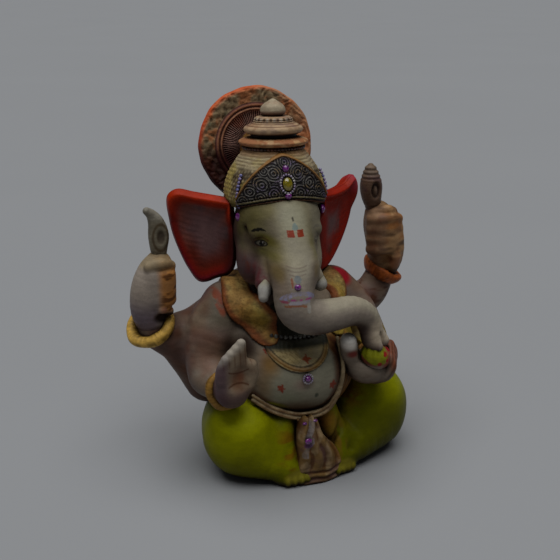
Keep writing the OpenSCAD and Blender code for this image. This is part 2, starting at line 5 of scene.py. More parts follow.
import bpy
import numpy as np
import openvdb
from bpy.props import FloatProperty, FloatVectorProperty, IntProperty, PointerProperty
from mathutils import Euler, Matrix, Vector


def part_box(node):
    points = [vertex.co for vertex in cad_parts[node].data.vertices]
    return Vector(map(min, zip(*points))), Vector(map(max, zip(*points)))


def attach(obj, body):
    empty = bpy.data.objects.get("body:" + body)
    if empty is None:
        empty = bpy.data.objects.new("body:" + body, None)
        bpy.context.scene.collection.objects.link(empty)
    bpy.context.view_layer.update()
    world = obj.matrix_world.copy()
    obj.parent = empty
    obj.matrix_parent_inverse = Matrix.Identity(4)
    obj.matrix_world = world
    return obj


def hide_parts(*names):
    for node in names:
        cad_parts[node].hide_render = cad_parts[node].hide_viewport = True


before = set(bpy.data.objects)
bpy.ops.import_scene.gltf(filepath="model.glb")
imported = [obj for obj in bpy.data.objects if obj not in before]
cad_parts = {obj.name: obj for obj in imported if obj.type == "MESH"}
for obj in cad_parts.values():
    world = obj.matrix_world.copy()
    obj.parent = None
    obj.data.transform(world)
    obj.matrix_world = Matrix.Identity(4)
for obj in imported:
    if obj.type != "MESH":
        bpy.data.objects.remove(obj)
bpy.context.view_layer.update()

bl_info = {
    "name": "Painted Plaster Idol",
    "version": (1, 0, 0),
    "blender": (4, 5, 0),
    "location": "3D View > Sidebar > Idol",
    "description": "Sculpts, paints and stages a seated elephant-headed idol",
    "category": "Object",
}

MM = 0.001
BAND = 16.0           # how far from a surface its distance is kept, in millimetres
PIGMENT = 0.5         # how much light the palest paint gives back
HEAD_X = -4.5         # the head's middle plane
HEAD_TURN = math.radians(-10)
SMALL_GRAIN = 0.4     # clay grain of the goad, bud and sweet
TUSK_GRAIN = 0.32
SKY_TONE = (0.97, 0.99, 1.0, 1)
WALL_TONE = (0.232, 0.246, 0.262, 1)
FLOOR_HALF = 60       # half width of the floor, in metres
AIM = Vector((0, 0, 0.108))    # what the camera looks at, in metres


# ---- numbers and colours ----

def srgb(red, green, blue):
    """A paint given as 0 to 255 values, as the linear colour that the shader wants."""
    c = np.array([red, green, blue], float) / 255
    return PIGMENT * np.where(c <= 0.04045, c / 12.92, ((c + 0.055) / 1.055) ** 2.4)


CREAM = srgb(196, 180, 150)
IVORY = srgb(212, 198, 144)
PEARL = srgb(190, 176, 168)
MAUVE = srgb(140, 104, 108)
BROWN = srgb(112, 62, 34)
UMBER = srgb(48, 26, 20)
RUST = srgb(172, 84, 40)
RED = srgb(200, 36, 24)
CRIMSON = srgb(170, 24, 40)
LIME = srgb(176, 180, 0)
OLIVE = srgb(118, 120, 8)
AMBER = srgb(196, 126, 26)
WHITE = srgb(226, 222, 214)
BLACK = srgb(26, 24, 26)
VIOLET = srgb(120, 20, 150)


def smooth(value, low, high):
    """0 below low, 1 above high, with a soft step between (low may be the larger)."""
    t = np.clip((value - low) / (high - low), 0, 1)
    return t * t * (3 - 2 * t)


def mottle(points, size, seed=0):
    """Value noise from 0 to 1 with blotches of the given size in millimetres."""
    q = points / size + 13.7 * seed + 500
    cell = np.floor(q)
    f = q - cell
    f = f * f * (3 - 2 * f)
    total = np.zeros(len(points))
    for dx in (0, 1):
        for dy in (0, 1):
            for dz in (0, 1):
                c = cell + (dx, dy, dz)
                h = np.sin(c @ (127.1, 311.7, 74.7)) * 43758.5453
                weight = (np.where(dx, f[:, 0], 1 - f[:, 0]) * np.where(dy, f[:, 1], 1 - f[:, 1])
                          * np.where(dz, f[:, 2], 1 - f[:, 2]))
                total += weight * (h - np.floor(h))
    return total


def cloud(points, size, seed=0):
    """Three layers of mottle, from 0 to 1."""
    return (mottle(points, size, seed) * 4 + mottle(points, size / 2, seed + 1) * 2
            + mottle(points, size / 4, seed + 2)) / 7


def fade(value, low, high):
    """1 below low, 0 above high."""
    return 1 - smooth(value, low, high)


def oval(u, wide, v, tall, inner):
    """1 in the middle of an oval where u and v are 0, falling from inner of its size to 0 at its edge."""
    return fade(np.hypot(u / wide, v / tall), inner, 1)


def within(u, wide, v, tall):
    """True inside the oval."""
    return np.hypot(u / wide, v / tall) < 1


def stroke(value, core, edge):
    """1 where the value is within core of 0, falling to 0 at edge."""
    return fade(np.abs(value), core, edge)


def spline(stations, steps=4):
    """Catmull-Rom curve through the stations, with steps pieces between neighbours."""
    p = np.array(stations, float)
    p = np.vstack([2 * p[0] - p[1], p, 2 * p[-1] - p[-2]])
    rows = []
    for i in range(1, len(p) - 2):
        a, b, c, d = p[i - 1:i + 3]
        for u in np.arange(steps) / steps:
            rows.append(0.5 * (2 * b + (c - a) * u + (2 * a - 5 * b + 4 * c - d) * u ** 2
                               + (3 * b - a - 3 * c + d) * u ** 3))
    rows.append(p[-2])
    return np.array(rows)


def turned(points, angle=HEAD_TURN, about=(HEAD_X, 0, 0)):
    """Points turned about an upright axis; the head is sculpted facing straight ahead."""
    q = np.array(points, float) - about
    c, s = math.cos(angle), math.sin(angle)
    return np.stack([c * q[..., 0] - s * q[..., 1], s * q[..., 0] + c * q[..., 1], q[..., 2]], -1) + about


def straight(points):
    """The points as they are before the head is turned."""
    return turned(points, -HEAD_TURN)


# ---- clay: shapes as distances to their surface ----

Shape = namedtuple("Shape", "low high distance")


def egg(centre, radii, tilt=(0, 0, 0)):
    """Ellipsoid with its own half sizes, tilted by degrees about X, Y and Z."""
    c = np.array(centre, float)
    r = np.array(radii, float) * np.ones(3)
    m = np.array(Euler([math.radians(a) for a in tilt]).to_matrix())
    reach = np.sqrt((m ** 2) @ (r ** 2))

    def distance(x, y, z):
        x, y, z = x - c[0], y - c[1], z - c[2]
        u, v, w = (m[0, k] * x + m[1, k] * y + m[2, k] * z for k in range(3))
        inner = np.sqrt((u / r[0]) ** 2 + (v / r[1]) ** 2 + (w / r[2]) ** 2)
        slope = np.sqrt((u / r[0] ** 2) ** 2 + (v / r[1] ** 2) ** 2 + (w / r[2] ** 2) ** 2)
        return inner * (inner - 1) / np.maximum(slope, 1e-5)

    return [Shape(c - reach, c + reach, distance)]


def cone(a, b):
    """Round bar from a to b, each given as x, y, z and radius."""
    pa, pb, ra, rb = a[:3], b[:3], a[3], b[3]
    run = pb - pa
    length2 = max(float(run @ run), 1e-6)

    def distance(x, y, z):
        x, y, z = x - pa[0], y - pa[1], z - pa[2]
        t = np.clip((x * run[0] + y * run[1] + z * run[2]) / length2, 0, 1)
        return np.sqrt((x - t * run[0]) ** 2 + (y - t * run[1]) ** 2
                       + (z - t * run[2]) ** 2) - ra - t * (rb - ra)

    r = max(ra, rb)
    return Shape(np.minimum(pa, pb) - r, np.maximum(pa, pb) + r, distance)


def limb(stations, steps=4):
    """Round bar along a smooth curve through stations of x, y, z and radius."""
    path = spline(stations, steps)
    return [cone(a, b) for a, b in zip(path[:-1], path[1:])]


def slab(centre, half, rounding, tilt=(0, 0, 0)):
    """Block with rounded edges, tilted by degrees about X, Y and Z."""
    c = np.array(centre, float)
    h = np.array(half, float) - rounding
    m = np.array(Euler([math.radians(a) for a in tilt]).to_matrix())
    reach = np.abs(m) @ np.array(half, float)

    def distance(x, y, z):
        x, y, z = x - c[0], y - c[1], z - c[2]
        q = [np.abs(m[0, k] * x + m[1, k] * y + m[2, k] * z) - h[k] for k in range(3)]
        outside = np.sqrt(sum(np.maximum(v, 0) ** 2 for v in q))
        return outside + np.minimum(np.maximum(np.maximum(q[0], q[1]), q[2]), 0) - rounding

    return [Shape(c - reach, c + reach, distance)]


def softmin(a, b, blend):
    """The nearer of two distances, with the corner between them filled over the blend."""
    if blend <= 0:
        return np.minimum(a, b)
    h = np.maximum(blend - np.abs(a - b), 0) / blend
    return np.minimum(a, b) - h * h * blend / 4


class Clay:
    """A block of space that shapes are added to and cut from."""

    def __init__(self, low, high, grain):
        self.low = np.array(low, float)
        self.grain = grain
        self.count = np.ceil((np.array(high) - self.low) / grain).astype(int) + 1
        self.field = np.full(self.count, BAND, np.float32)

    def window(self, low, high):
        a = np.clip(np.floor((np.array(low) - self.low) / self.grain).astype(int), 0, self.count)
        b = np.clip(np.ceil((np.array(high) - self.low) / self.grain).astype(int) + 1, 0, self.count)
        return a, np.maximum(a, b)

    def axes(self, a, b):
        """Open x, y and z coordinates of the grid points from a up to b."""
        lines = [(self.low[k] + self.grain * np.arange(a[k], b[k])).astype(np.float32) for k in range(3)]
        return lines[0][:, None, None], lines[1][None, :, None], lines[2][None, None, :]

    def measure(self, shapes, blend=5.0):
        """Distance to the nearest of the shapes, and the window that it fills."""
        reach = max(blend, 5.0) + 1
        a, b = self.window(np.min([s.low for s in shapes], 0) - reach, np.max([s.high for s in shapes], 0)
                           + reach)
        d = np.full(b - a, BAND, np.float32)
        for s in shapes:
            p, q = self.window(s.low - reach, s.high + reach)
            if np.all(q > p):
                part = tuple(slice(i, j) for i, j in zip(p - a, q - a))
                d[part] = np.minimum(d[part], s.distance(*self.axes(p, q)))
        return tuple(slice(i, j) for i, j in zip(a, b)), d

    def add(self, shapes, blend=0.0):
        w, d = self.measure(shapes, blend)
        self.field[w] = softmin(self.field[w], d, blend)

    def cut(self, shapes, blend=0.0):
        w, d = self.measure(shapes, blend)
        self.field[w] = -softmin(-self.field[w], d, blend)

    def relief(self, low, high, height):
        """Raises the surface between two corners by height(x, y, z) millimetres."""
        a, b = self.window(low, high)
        w = tuple(slice(i, j) for i, j in zip(a, b))
        self.field[w] -= height(*self.axes(a, b))

    def flat_foot(self, level=0.0):
        """Nothing is left below the level."""
        z = self.low[2] + self.grain * np.arange(self.count[2])
        self.field = np.maximum(self.field, (level - z)[None, None, :].astype(np.float32))

    def skin(self):
        """The surface as points in millimetres and four-sided faces."""
        grid = openvdb.FloatGrid(BAND)
        padded = np.pad(np.clip(self.field, -BAND, BAND), 1, constant_values=BAND)
        grid.copyFromArray(padded)
        points, quads = grid.convertToQuads()
        return (points - 1) * self.grain + self.low, quads


# ---- pieces ----

class Coat:
    """Paint on the points of one piece: a base colour and what is brushed over it.

    A colour is a tuple of 0 to 255 values, or one of the paints named above.
    """

    def __init__(self, points, base):
        self.p = points
        self.x, self.y, self.z = points.T
        self.rgb = np.ones((len(points), 3)) * self.mixed(base)

    @staticmethod
    def mixed(colour):
        return srgb(*colour) if isinstance(colour, tuple) else colour

    def brush(self, colour, weight):
        w = np.clip(weight, 0, 1)[:, None]
        self.rgb = self.rgb * (1 - w) + self.mixed(colour) * w

    def dab(self, colour, centre, size, strength=1.0, soft=1.0):
        """A spot of spray paint with half sizes, soft from its middle (1) or only at its edge (0.2)."""
        d = np.sqrt((((self.p - centre) / size) ** 2).sum(1))
        self.brush(colour, strength * fade(d, 1 - soft, 1))

    def stain(self, colour, size, amount, seed=0):
        """Uneven stain of soft blotches."""
        self.brush(colour, amount * smooth(cloud(self.p, size, seed), 0.42, 0.72))


def near(points, path):
    """Distance of each point to a curve, and where along it (0 to 1) the nearest place is."""
    rows = spline(path, 6)[:, :3]
    best = np.full(len(points), 1e9)
    where = np.zeros(len(points))
    for k, row in enumerate(rows):
        d = ((points - row) ** 2).sum(1)
        closer = d < best
        best[closer] = d[closer]
        where[closer] = k / (len(rows) - 1)
    return np.sqrt(best), where


def loft(axis, stations, rounding=0.6):
    """Oval-section shape along X (axis 0) or Z (axis 2): place, centre u, v and half size u, v."""
    rows = spline(stations, 5)
    rows = rows[np.argsort(rows[:, 0])]
    low, high = rows[0, 0], rows[-1, 0]

    def distance(x, y, z):
        t, u, v = (x, y, z) if axis == 0 else (z, x, y)
        cu, cv, hu, hv = (np.interp(t, rows[:, 0], rows[:, k]) for k in (1, 2, 3, 4))
        a = (u - cu) / hu
        b = (v - cv) / hv
        inner = np.sqrt(a * a + b * b)
        slope = np.sqrt((a / hu) ** 2 + (b / hv) ** 2)
        side = inner * (inner - 1) / np.maximum(slope, 1e-5)
        end = np.maximum(low - t, t - high)
        h = np.maximum(rounding * 4 - np.abs(side - end), 0) / (rounding * 4)
        return np.maximum(side, end) + h * h * rounding

    reach = rows[:, 1:3] - rows[:, 3:5]
    far = rows[:, 1:3] + rows[:, 3:5]
    a = [low, *reach.min(0)]
    b = [high, *far.max(0)]
    if axis == 2:
        a, b = a[1:] + a[:1], b[1:] + b[:1]
    return [Shape(np.array(a), np.array(b), distance)]


def piece(name, points, faces, material, nodes, rgb=None):
    """A mesh object from points in millimetres, riding on the idol in place of its CAD nodes."""
    mesh = bpy.data.meshes.new(name)
    mesh.from_pydata((np.asarray(points) * MM).tolist(), [],
                     faces if isinstance(faces, list) else faces.tolist())
    mesh.update()
    mesh.polygons.foreach_set("use_smooth", [True] * len(mesh.polygons))
    paint = mesh.color_attributes.new("paint", "FLOAT_COLOR", "POINT")
    colours = np.ones((len(points), 4), np.float32)
    colours[:, :3] = 0.5 if rgb is None else np.clip(rgb, 0, 1)
    paint.data.foreach_set("color", colours.ravel())
    mesh.materials.append(material)
    thing = bpy.data.objects.new(name, mesh)
    bpy.context.scene.collection.objects.link(thing)
    return settle(thing, nodes)


def settle(thing, nodes):
    """Rides on the idol and stands for its CAD nodes."""
    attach(thing, "root")
    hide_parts(*nodes)
    return thing


def shell(front, back):
    """Closed sheet between two grids of points, both seen with rows up and columns to the right."""
    rows, columns = front.shape[:2]
    n = rows * columns
    k = np.arange(n).reshape(rows, columns)
    a, b, c, d = k[:-1, :-1], k[:-1, 1:], k[1:, 1:], k[1:, :-1]
    faces = np.stack([a, b, c, d], -1).reshape(-1, 4)
    behind = np.stack([d, c, b, a], -1).reshape(-1, 4) + n
    rim = np.concatenate([k[0, :], k[1:, -1], k[-1, -2::-1], k[-2:0:-1, 0]])
    nxt = np.roll(rim, -1)
    walls = np.stack([nxt, rim, rim + n, nxt + n], -1)
    return np.vstack([front.reshape(-1, 3), back.reshape(-1, 3)]), np.vstack([faces, behind, walls])


def tube(rows_of_points):
    """Closed tube from rings of points given upwards, each ring counter-clockwise seen from above."""
    rows, columns = rows_of_points.shape[:2]
    k = np.arange(rows * columns).reshape(rows, columns)
    nxt = np.roll(k, -1, axis=1)
    faces = np.stack([k[:-1], nxt[:-1], nxt[1:], k[1:]], -1).reshape(-1, 4).tolist()
    n = rows * columns
    faces += [[n, int(b), int(a)] for a, b in zip(k[0], nxt[0])]
    faces += [[n + 1, int(a), int(b)] for a, b in zip(k[-1], nxt[-1])]
    ends = np.array([rows_of_points[0].mean(0), rows_of_points[-1].mean(0)])
    return np.vstack([rows_of_points.reshape(-1, 3), ends]), faces


def turned_shape(profile, place, turns=240, steps=8, relief=None):
    """Lathe shape from radius and height stations, put in place; relief(angle, height, radius) is added."""
    rows = spline([(r, h, 0) for r, h in profile], steps)[:, :2]
    angle = np.arange(turns) * 2 * math.pi / turns
    radius = np.repeat(rows[:, :1], turns, 1)
    height = np.repeat(rows[:, 1:], turns, 1)
    around = np.repeat(angle[None, :], len(rows), 0)
    lift = relief(around, height, radius) if relief else 0
    r = np.maximum(radius + lift, 0.05)
    ring = np.stack([r * np.cos(around), r * np.sin(around), height], -1)
    points, faces = tube(place(ring))
    flat = [np.append(v.ravel(), v.ravel()[[0, -1]]) for v in (around, height, lift + 0 * r)]
    return points, faces, flat


def on_crown(local):
    """From the crown's own frame (Z up its axis, front to -Y) to the idol's."""
    c, s = math.cos(CROWN_LEAN), math.sin(CROWN_LEAN)
    x, y, z = local[..., 0], local[..., 1], local[..., 2]
    return turned(np.stack([x, c * y + s * z, c * z - s * y], -1) + CROWN_AT)


def on_halo(local):
    """From the halo's own frame (X right, Y up its face, Z to the front) to the idol's."""
    c, s = math.cos(HALO_TILT), math.sin(HALO_TILT)
    x, y, z = local[..., 0], local[..., 1], local[..., 2]
    return turned(np.stack([x, c * y - s * z, s * y + c * z], -1) + HALO_AT)


CROWN_AT = np.array([HEAD_X, -3, 158])
CROWN_LEAN = math.radians(3)
HALO_AT = np.array([-7.5, 30, 185.2])
HALO_TILT = math.radians(84)


# ---- materials ----

class Finish:
    """A material under construction, with short ways to add nodes and links."""

    def __init__(self, name, roughness, specular=0.14, coat=0.0):
        self.material = bpy.data.materials.new(name)
        self.material.use_nodes = True
        self.nodes = self.material.node_tree.nodes
        self.shader = self.nodes["Principled BSDF"]
        self.shader.inputs["Roughness"].default_value = roughness
        self.shader.inputs["Specular IOR Level"].default_value = specular
        self.shader.inputs["Coat Weight"].default_value = coat
        self.place = self.add("ShaderNodeTexCoord").outputs["Object"]

    def add(self, kind, **settings):
        node = self.nodes.new(kind)
        for key, value in settings.items():
            setattr(node, key, value)
        return node

    def link(self, output, socket):
        self.material.node_tree.links.new(output, socket)

    def noise(self, size_mm, detail=3.0, stretch=(1, 1, 1)):
        """Noise whose blotches measure about size_mm; stretch makes streaks along an axis."""
        mapping = self.add("ShaderNodeMapping")
        mapping.inputs["Scale"].default_value = stretch
        self.link(self.place, mapping.inputs["Vector"])
        node = self.add("ShaderNodeTexNoise")
        node.inputs["Scale"].default_value = 1000 / size_mm
        node.inputs["Detail"].default_value = detail
        self.link(mapping.outputs["Vector"], node.inputs["Vector"])
        return node.outputs["Fac"]

    def ramp(self, value, low, high, out_low=0.0, out_high=1.0):
        node = self.add("ShaderNodeMapRange")
        self.link(value, node.inputs["Value"])
        for key, number in zip(("From Min", "From Max", "To Min", "To Max"), (low, high, out_low, out_high)):
            node.inputs[key].default_value = number
        return node.outputs["Result"]

    def mix(self, how, factor, a, b):
        """Mixes two colours; each of factor, a and b is an output or a plain value."""
        node = self.add("ShaderNodeMix", data_type="RGBA", blend_type=how)
        for value, socket in ((factor, node.inputs[0]), (a, node.inputs[6]), (b, node.inputs[7])):
            if isinstance(value, bpy.types.NodeSocket):
                self.link(value, socket)
            else:
                socket.default_value = value if isinstance(value, float) else (*value, 1)
        return node.outputs[2]

    def bump(self, height, depth_mm, strength=1.0):
        node = self.add("ShaderNodeBump")
        node.inputs["Strength"].default_value = strength
        node.inputs["Distance"].default_value = depth_mm * MM
        self.link(height, node.inputs["Height"])
        previous = self.shader.inputs["Normal"]
        if previous.is_linked:
            self.link(previous.links[0].from_socket, node.inputs["Normal"])
        self.link(node.outputs["Normal"], previous)

    def crevices(self, reach_mm):
        """1 in the open, falling to 0 deep in a crevice."""
        node = self.add("ShaderNodeAmbientOcclusion")
        node.inputs["Distance"].default_value = reach_mm * MM
        node.samples = 6
        return node.outputs["AO"]


def hand_painted(name, roughness=0.55, wash=UMBER, depth=0.85, reach=7.0, speckle=0.16, bump=0.25,
                 specular=0.12,
                 streak=(1, 1, 3)):
    """Plaster painted by hand: spray-painted colour, a dark antique wash that also paints shade into crevices
    and gaps between pieces, brush streaks and grain.
    """
    f = Finish(name, roughness, specular)
    colour = f.add("ShaderNodeAttribute", attribute_name="paint").outputs["Color"]
    shade = f.ramp(f.noise(6, 4, streak), 0.3, 0.7, 1 - speckle, 1 + speckle * 0.6)
    colour = f.mix("MULTIPLY", 1.0, colour, shade)
    fine = f.ramp(f.noise(0.9, 2), 0.3, 0.75, 1 - speckle * 0.6, 1.04)
    colour = f.mix("MULTIPLY", 1.0, colour, fine)
    edge = f.noise(3.0, 3)
    open_air = f.add("ShaderNodeMath", operation="ADD")
    f.link(f.crevices(reach), open_air.inputs[0])
    f.link(f.ramp(edge, 0.2, 0.8, -0.14, 0.14), open_air.inputs[1])
    # dark antique wash together with painted shade, deepest where the occlusion finds crevices and gaps
    # between pieces
    wash_and_shade = f.ramp(open_air.outputs[0], 0.32, 0.88, depth, 0.0)
    colour = f.mix("MIX", wash_and_shade, colour, tuple(wash))
    f.link(colour, f.shader.inputs["Base Color"])
    f.bump(f.noise(1.6, 4), bump)
    f.bump(f.noise(0.5, 2), bump * 0.35)
    return f.material


def glass_stone(name, colour, glow):
    """Cut glass stone with a foiled back, lighter where its facets catch the light."""
    f = Finish(name, 0.12, 0.7, coat=0.6)
    facet = f.add("ShaderNodeTexVoronoi")
    facet.inputs["Scale"].default_value = 900
    f.link(f.place, facet.inputs["Vector"])
    f.link(f.mix("MIX", f.ramp(facet.outputs["Distance"], 0.1, 0.7), tuple(glow), tuple(colour)),
           f.shader.inputs["Base Color"])
    f.bump(facet.outputs["Distance"], 0.25, 0.6)
    return f.material


def lacquer_beads(name, colour, other):
    """Small painted beads, each a little different, with dark paint and painted shade between them."""
    f = Finish(name, 0.3, 0.5, coat=0.4)
    tone = f.ramp(f.noise(2.6, 1), 0.38, 0.62)
    base = f.mix("MIX", tone, tuple(colour), tuple(other))
    # dark paint with painted shade where the beads crowd together
    wash_and_shade = f.ramp(f.crevices(2.2), 0.25, 0.7, 0.9, 0.0)
    f.link(f.mix("MIX", wash_and_shade, base, tuple(UMBER)), f.shader.inputs["Base Color"])
    f.bump(f.noise(0.6, 2), 0.12)
    return f.material


def core_wood():
    """Turned hardwood of the rod and the plug."""
    f = Finish("core_wood", 0.62)
    grain = f.noise(2.2, 5, (1, 1, 0.08))
    f.link(f.mix("MIX", f.ramp(grain, 0.35, 0.65), tuple(srgb(176, 128, 80)), tuple(srgb(112, 72, 40))),
           f.shader.inputs["Base Color"])
    f.bump(grain, 0.3)
    return f.material


def drawn_wire():
    """Steel wire of the pins."""
    f = Finish("pin_wire", 0.35)
    f.shader.inputs["Metallic"].default_value = 1.0
    lines = f.noise(0.4, 2, (1, 0.1, 1))
    f.link(f.mix("MIX", f.ramp(lines, 0.3, 0.7), (0.5, 0.5, 0.5), (0.66, 0.65, 0.63)),
           f.shader.inputs["Base Color"])
    f.bump(lines, 0.02)
    return f.material


# ---- geometry nodes: strings of beads ----

def bead_tree():
    """Beads along the lines of a mesh, with named sizes and a fixed seed for their small differences."""
    tree = bpy.data.node_groups.new("Bead string", "GeometryNodeTree")
    for name, kind, default in (("Geometry", "Geometry", None), ("Spacing", "Float", 0.003),
                                ("Bead size", "Float", 0.003), ("Difference", "Float", 0.1),
                                ("Seed", "Int", 5), ("Finish", "Material", None)):
        socket = tree.interface.new_socket(name, in_out="INPUT", socket_type="NodeSocket" + kind)
        if default is not None:
            socket.default_value = default
    tree.interface.new_socket("Geometry", in_out="OUTPUT", socket_type="NodeSocketGeometry")
    source = tree.nodes.new("NodeGroupInput").outputs

    def add(kind, sockets, **settings):
        """The outputs of a new node; sockets gives the link or the plain value of its inputs."""
        node = tree.nodes.new(kind)
        for key, value in settings.items():
            setattr(node, key, value)
        for key, value in sockets.items():
            if isinstance(value, bpy.types.NodeSocket):
                tree.links.new(value, node.inputs[key])
            else:
                node.inputs[key].default_value = value
        return node.outputs

    line = add("GeometryNodeMeshToCurve", {"Mesh": source["Geometry"]})
    spaced = add("GeometryNodeResampleCurve", {"Curve": line["Curve"], "Length": source["Spacing"]},
                 mode="LENGTH")
    radius = add("ShaderNodeMath", {0: source["Bead size"], 1: 0.5}, operation="MULTIPLY")
    bead = add("GeometryNodeMeshUVSphere", {"Segments": 12, "Rings": 8, "Radius": radius[0]})
    least = add("ShaderNodeMath", {0: 1.0, 1: source["Difference"]}, operation="SUBTRACT")
    vary = add("FunctionNodeRandomValue", {2: least[0], 3: 1.0, "Seed": source["Seed"]}, data_type="FLOAT")
    beads = add("GeometryNodeInstanceOnPoints",
                {"Points": spaced["Curve"], "Instance": bead["Mesh"], "Scale": vary[1]})
    real = add("GeometryNodeRealizeInstances", {"Geometry": beads["Instances"]})
    rounded = add("GeometryNodeSetShadeSmooth", {0: real["Geometry"]})
    painted = add("GeometryNodeSetMaterial", {"Geometry": rounded[0], "Material": source["Finish"]})
    add("NodeGroupOutput", {"Geometry": painted["Geometry"]})
    return tree


def beads_along(name, lines, spacing, size, finish, difference=0.12, seed=5):
    """A plain mesh of beads along one or more lines of points, all in millimetres."""
    points = np.vstack(lines)
    edges = []
    start = 0
    for line in lines:
        edges += [(start + k, start + k + 1) for k in range(len(line) - 1)]
        start += len(line)
    mesh = bpy.data.meshes.new(name + "_lines")
    mesh.from_pydata((points * MM).tolist(), edges, [])
    carrier = bpy.data.objects.new(name + "_lines", mesh)
    bpy.context.scene.collection.objects.link(carrier)
    tree = bpy.data.node_groups.get("Bead string") or bead_tree()
    modifier = carrier.modifiers.new("Beads", "NODES")
    modifier.node_group = tree
    values = {"Spacing": spacing * MM, "Bead size": size * MM, "Difference": difference, "Seed": seed,
              "Finish": finish}
    for socket in tree.interface.items_tree:
        if socket.in_out == "INPUT" and socket.name in values:
            modifier[socket.identifier] = values[socket.name]
    view = bpy.context.evaluated_depsgraph_get()
    plain = bpy.data.meshes.new_from_object(carrier.evaluated_get(view))
    plain.name = name
    bpy.data.objects.remove(carrier)
    thing = bpy.data.objects.new(name, plain)
    bpy.context.scene.collection.objects.link(thing)
    return thing


# ---- the castings ----

BELT = [(-33, -35, 52), (-24, -42, 46), (-12, -46.5, 41.5), (0, -47.5, 40.6), (8, -48, 43), (12.5, -49.4, 50),
        (15, -51, 60), (16.2, -50.2, 70), (16.6, -42.5, 82)]
RIGHT_SHAWL = [(-23, 20, 90, 6.5), (-25, 18, 102, 7.5), (-29, 6, 112, 6.5), (-31, -4, 112, 8),
               (-33, -17, 106, 10), (-30.5, -28, 99.5, 11.2), (-26, -36, 94, 10.8), (-23, -40, 91.5, 8)]
LEFT_SHAWL = [(21, 20, 90, 6.5), (23, 18, 102, 7.5), (22, 6, 113, 7), (24, -4, 111, 8.5),
              (28, -16, 105, 9), (26, -27, 96, 8.5), (21, -36, 88, 6)]
GREY_CREAM = srgb(184, 170, 152)
BELLY = srgb(196, 192, 166)
OCHRE = srgb(190, 140, 62)
PINK = srgb(206, 120, 130)


def body_clay(grain):
    """Torso, shoulders and the four arms in one casting."""
    clay = Clay((-90, -60, 26), (88, 34, 127), grain)
    clay.add(loft(2, [(30, 0, -8, 29, 25), (45, -1, -16, 34, 31), (56, -1, -18, 37, 35),
                      (67, -1, -18, 38, 35), (79, -1, -14, 39, 32), (90, -1, -6, 39, 27),
                      (100, -1, 1, 34, 22), (109, -2, 6, 24, 18), (117, -3, 7, 16, 15)]))
    clay.add(loft(2, [(104, HEAD_X, 4, 16, 14), (115, HEAD_X, 2, 16, 14), (125, HEAD_X, 0, 18, 16)]), 4)
    clay.add(loft(0, [(-22, 8, 82, 15, 24), (-42, 10, 76, 15, 25), (-54, 10, 77, 13, 18),
                      (-64, 9, 80, 11.5, 12.5), (-71, 8, 81.5, 10, 10.5)], 2.5), 14)
    clay.add(limb([(-67, 9, 77, 8.5), (-60, 9, 69, 10.5), (-52, 8, 60.5, 13), (-45, 6, 51, 15)]), 6)
    clay.add(limb([(-62, 9, 80, 11), (-71, 8, 81.5, 10.2), (-76.5, 8, 85, 9.4), (-78, 8, 92, 8.6)]), 5)
    clay.add(loft(0, [(22, 9, 86, 14, 19), (46, 15, 80, 13, 15), (58, 15, 80.5, 12, 12)], 2.5), 14)
    clay.add(limb([(52, 15, 80, 12), (62, 15, 81, 11.8), (71.5, 15, 86, 10.6), (76.4, 15, 93, 9.6),
                   (78.6, 15, 99, 8.8)]), 5)
    clay.add(limb([(-35, -1, 97, 15.5), (-44, -5, 86, 16), (-50, -9, 72, 14), (-51, -15, 62.5, 12.5)]), 5)
    clay.add(limb([(-51, -15, 62.5, 12.4), (-51, -24, 61.5, 11), (-51, -32, 61.5, 9.4), (-51, -38, 63, 9)]),
             4)
    clay.add(limb([(34, 0, 97, 15.5), (45, -5, 85, 15), (52, -12, 72, 12.5), (51, -18, 66, 12)]), 5)
    clay.add(limb([(51, -18, 66, 12), (49, -27, 65, 10.5), (45, -35, 64.5, 9), (42, -40, 64.5, 9)]), 4)
    clay.add(egg((-15, -20, 100), (17, 11, 8), (12, 0, 0)), 6)
    clay.add(egg((13, -20, 99), (17, 11, 8), (12, 0, 0)), 6)
    clay.cut(limb([(-37, -24, 90, 1.6), (-38, -25, 80, 2.2), (-35, -27, 70, 2.2), (-32, -30, 60, 1.6)]), 5)
    clay.cut(egg((-7.5, -56, 62), (3.2, 2.5, 3.2)), 3)
    clay.add(egg((-19, 17, 98), (12, 7, 13), (0, 14, 0)), 8)
    clay.add(egg((17, 17, 98), (12, 7, 13), (0, -14, 0)), 8)
    clay.cut(limb([(-1, 29, 106, 1.0), (-1, 27, 92, 1.6), (-1, 25, 76, 1.6), (-1, 23, 60, 1.2)]), 8)

    def folds(x, y, z):
        front = smooth(-y, 20, 30) * smooth(x, 8, 16) * smooth(86 - z, 0, 12)
        ring = np.hypot(x + 4, (z - 64) / 0.95)
        return front * smooth(ring, 20.5, 22.5) * 0.6 * np.sin(ring * 1.7)

    clay.relief((4, -58, 30), (50, -16, 90), folds)
    return clay


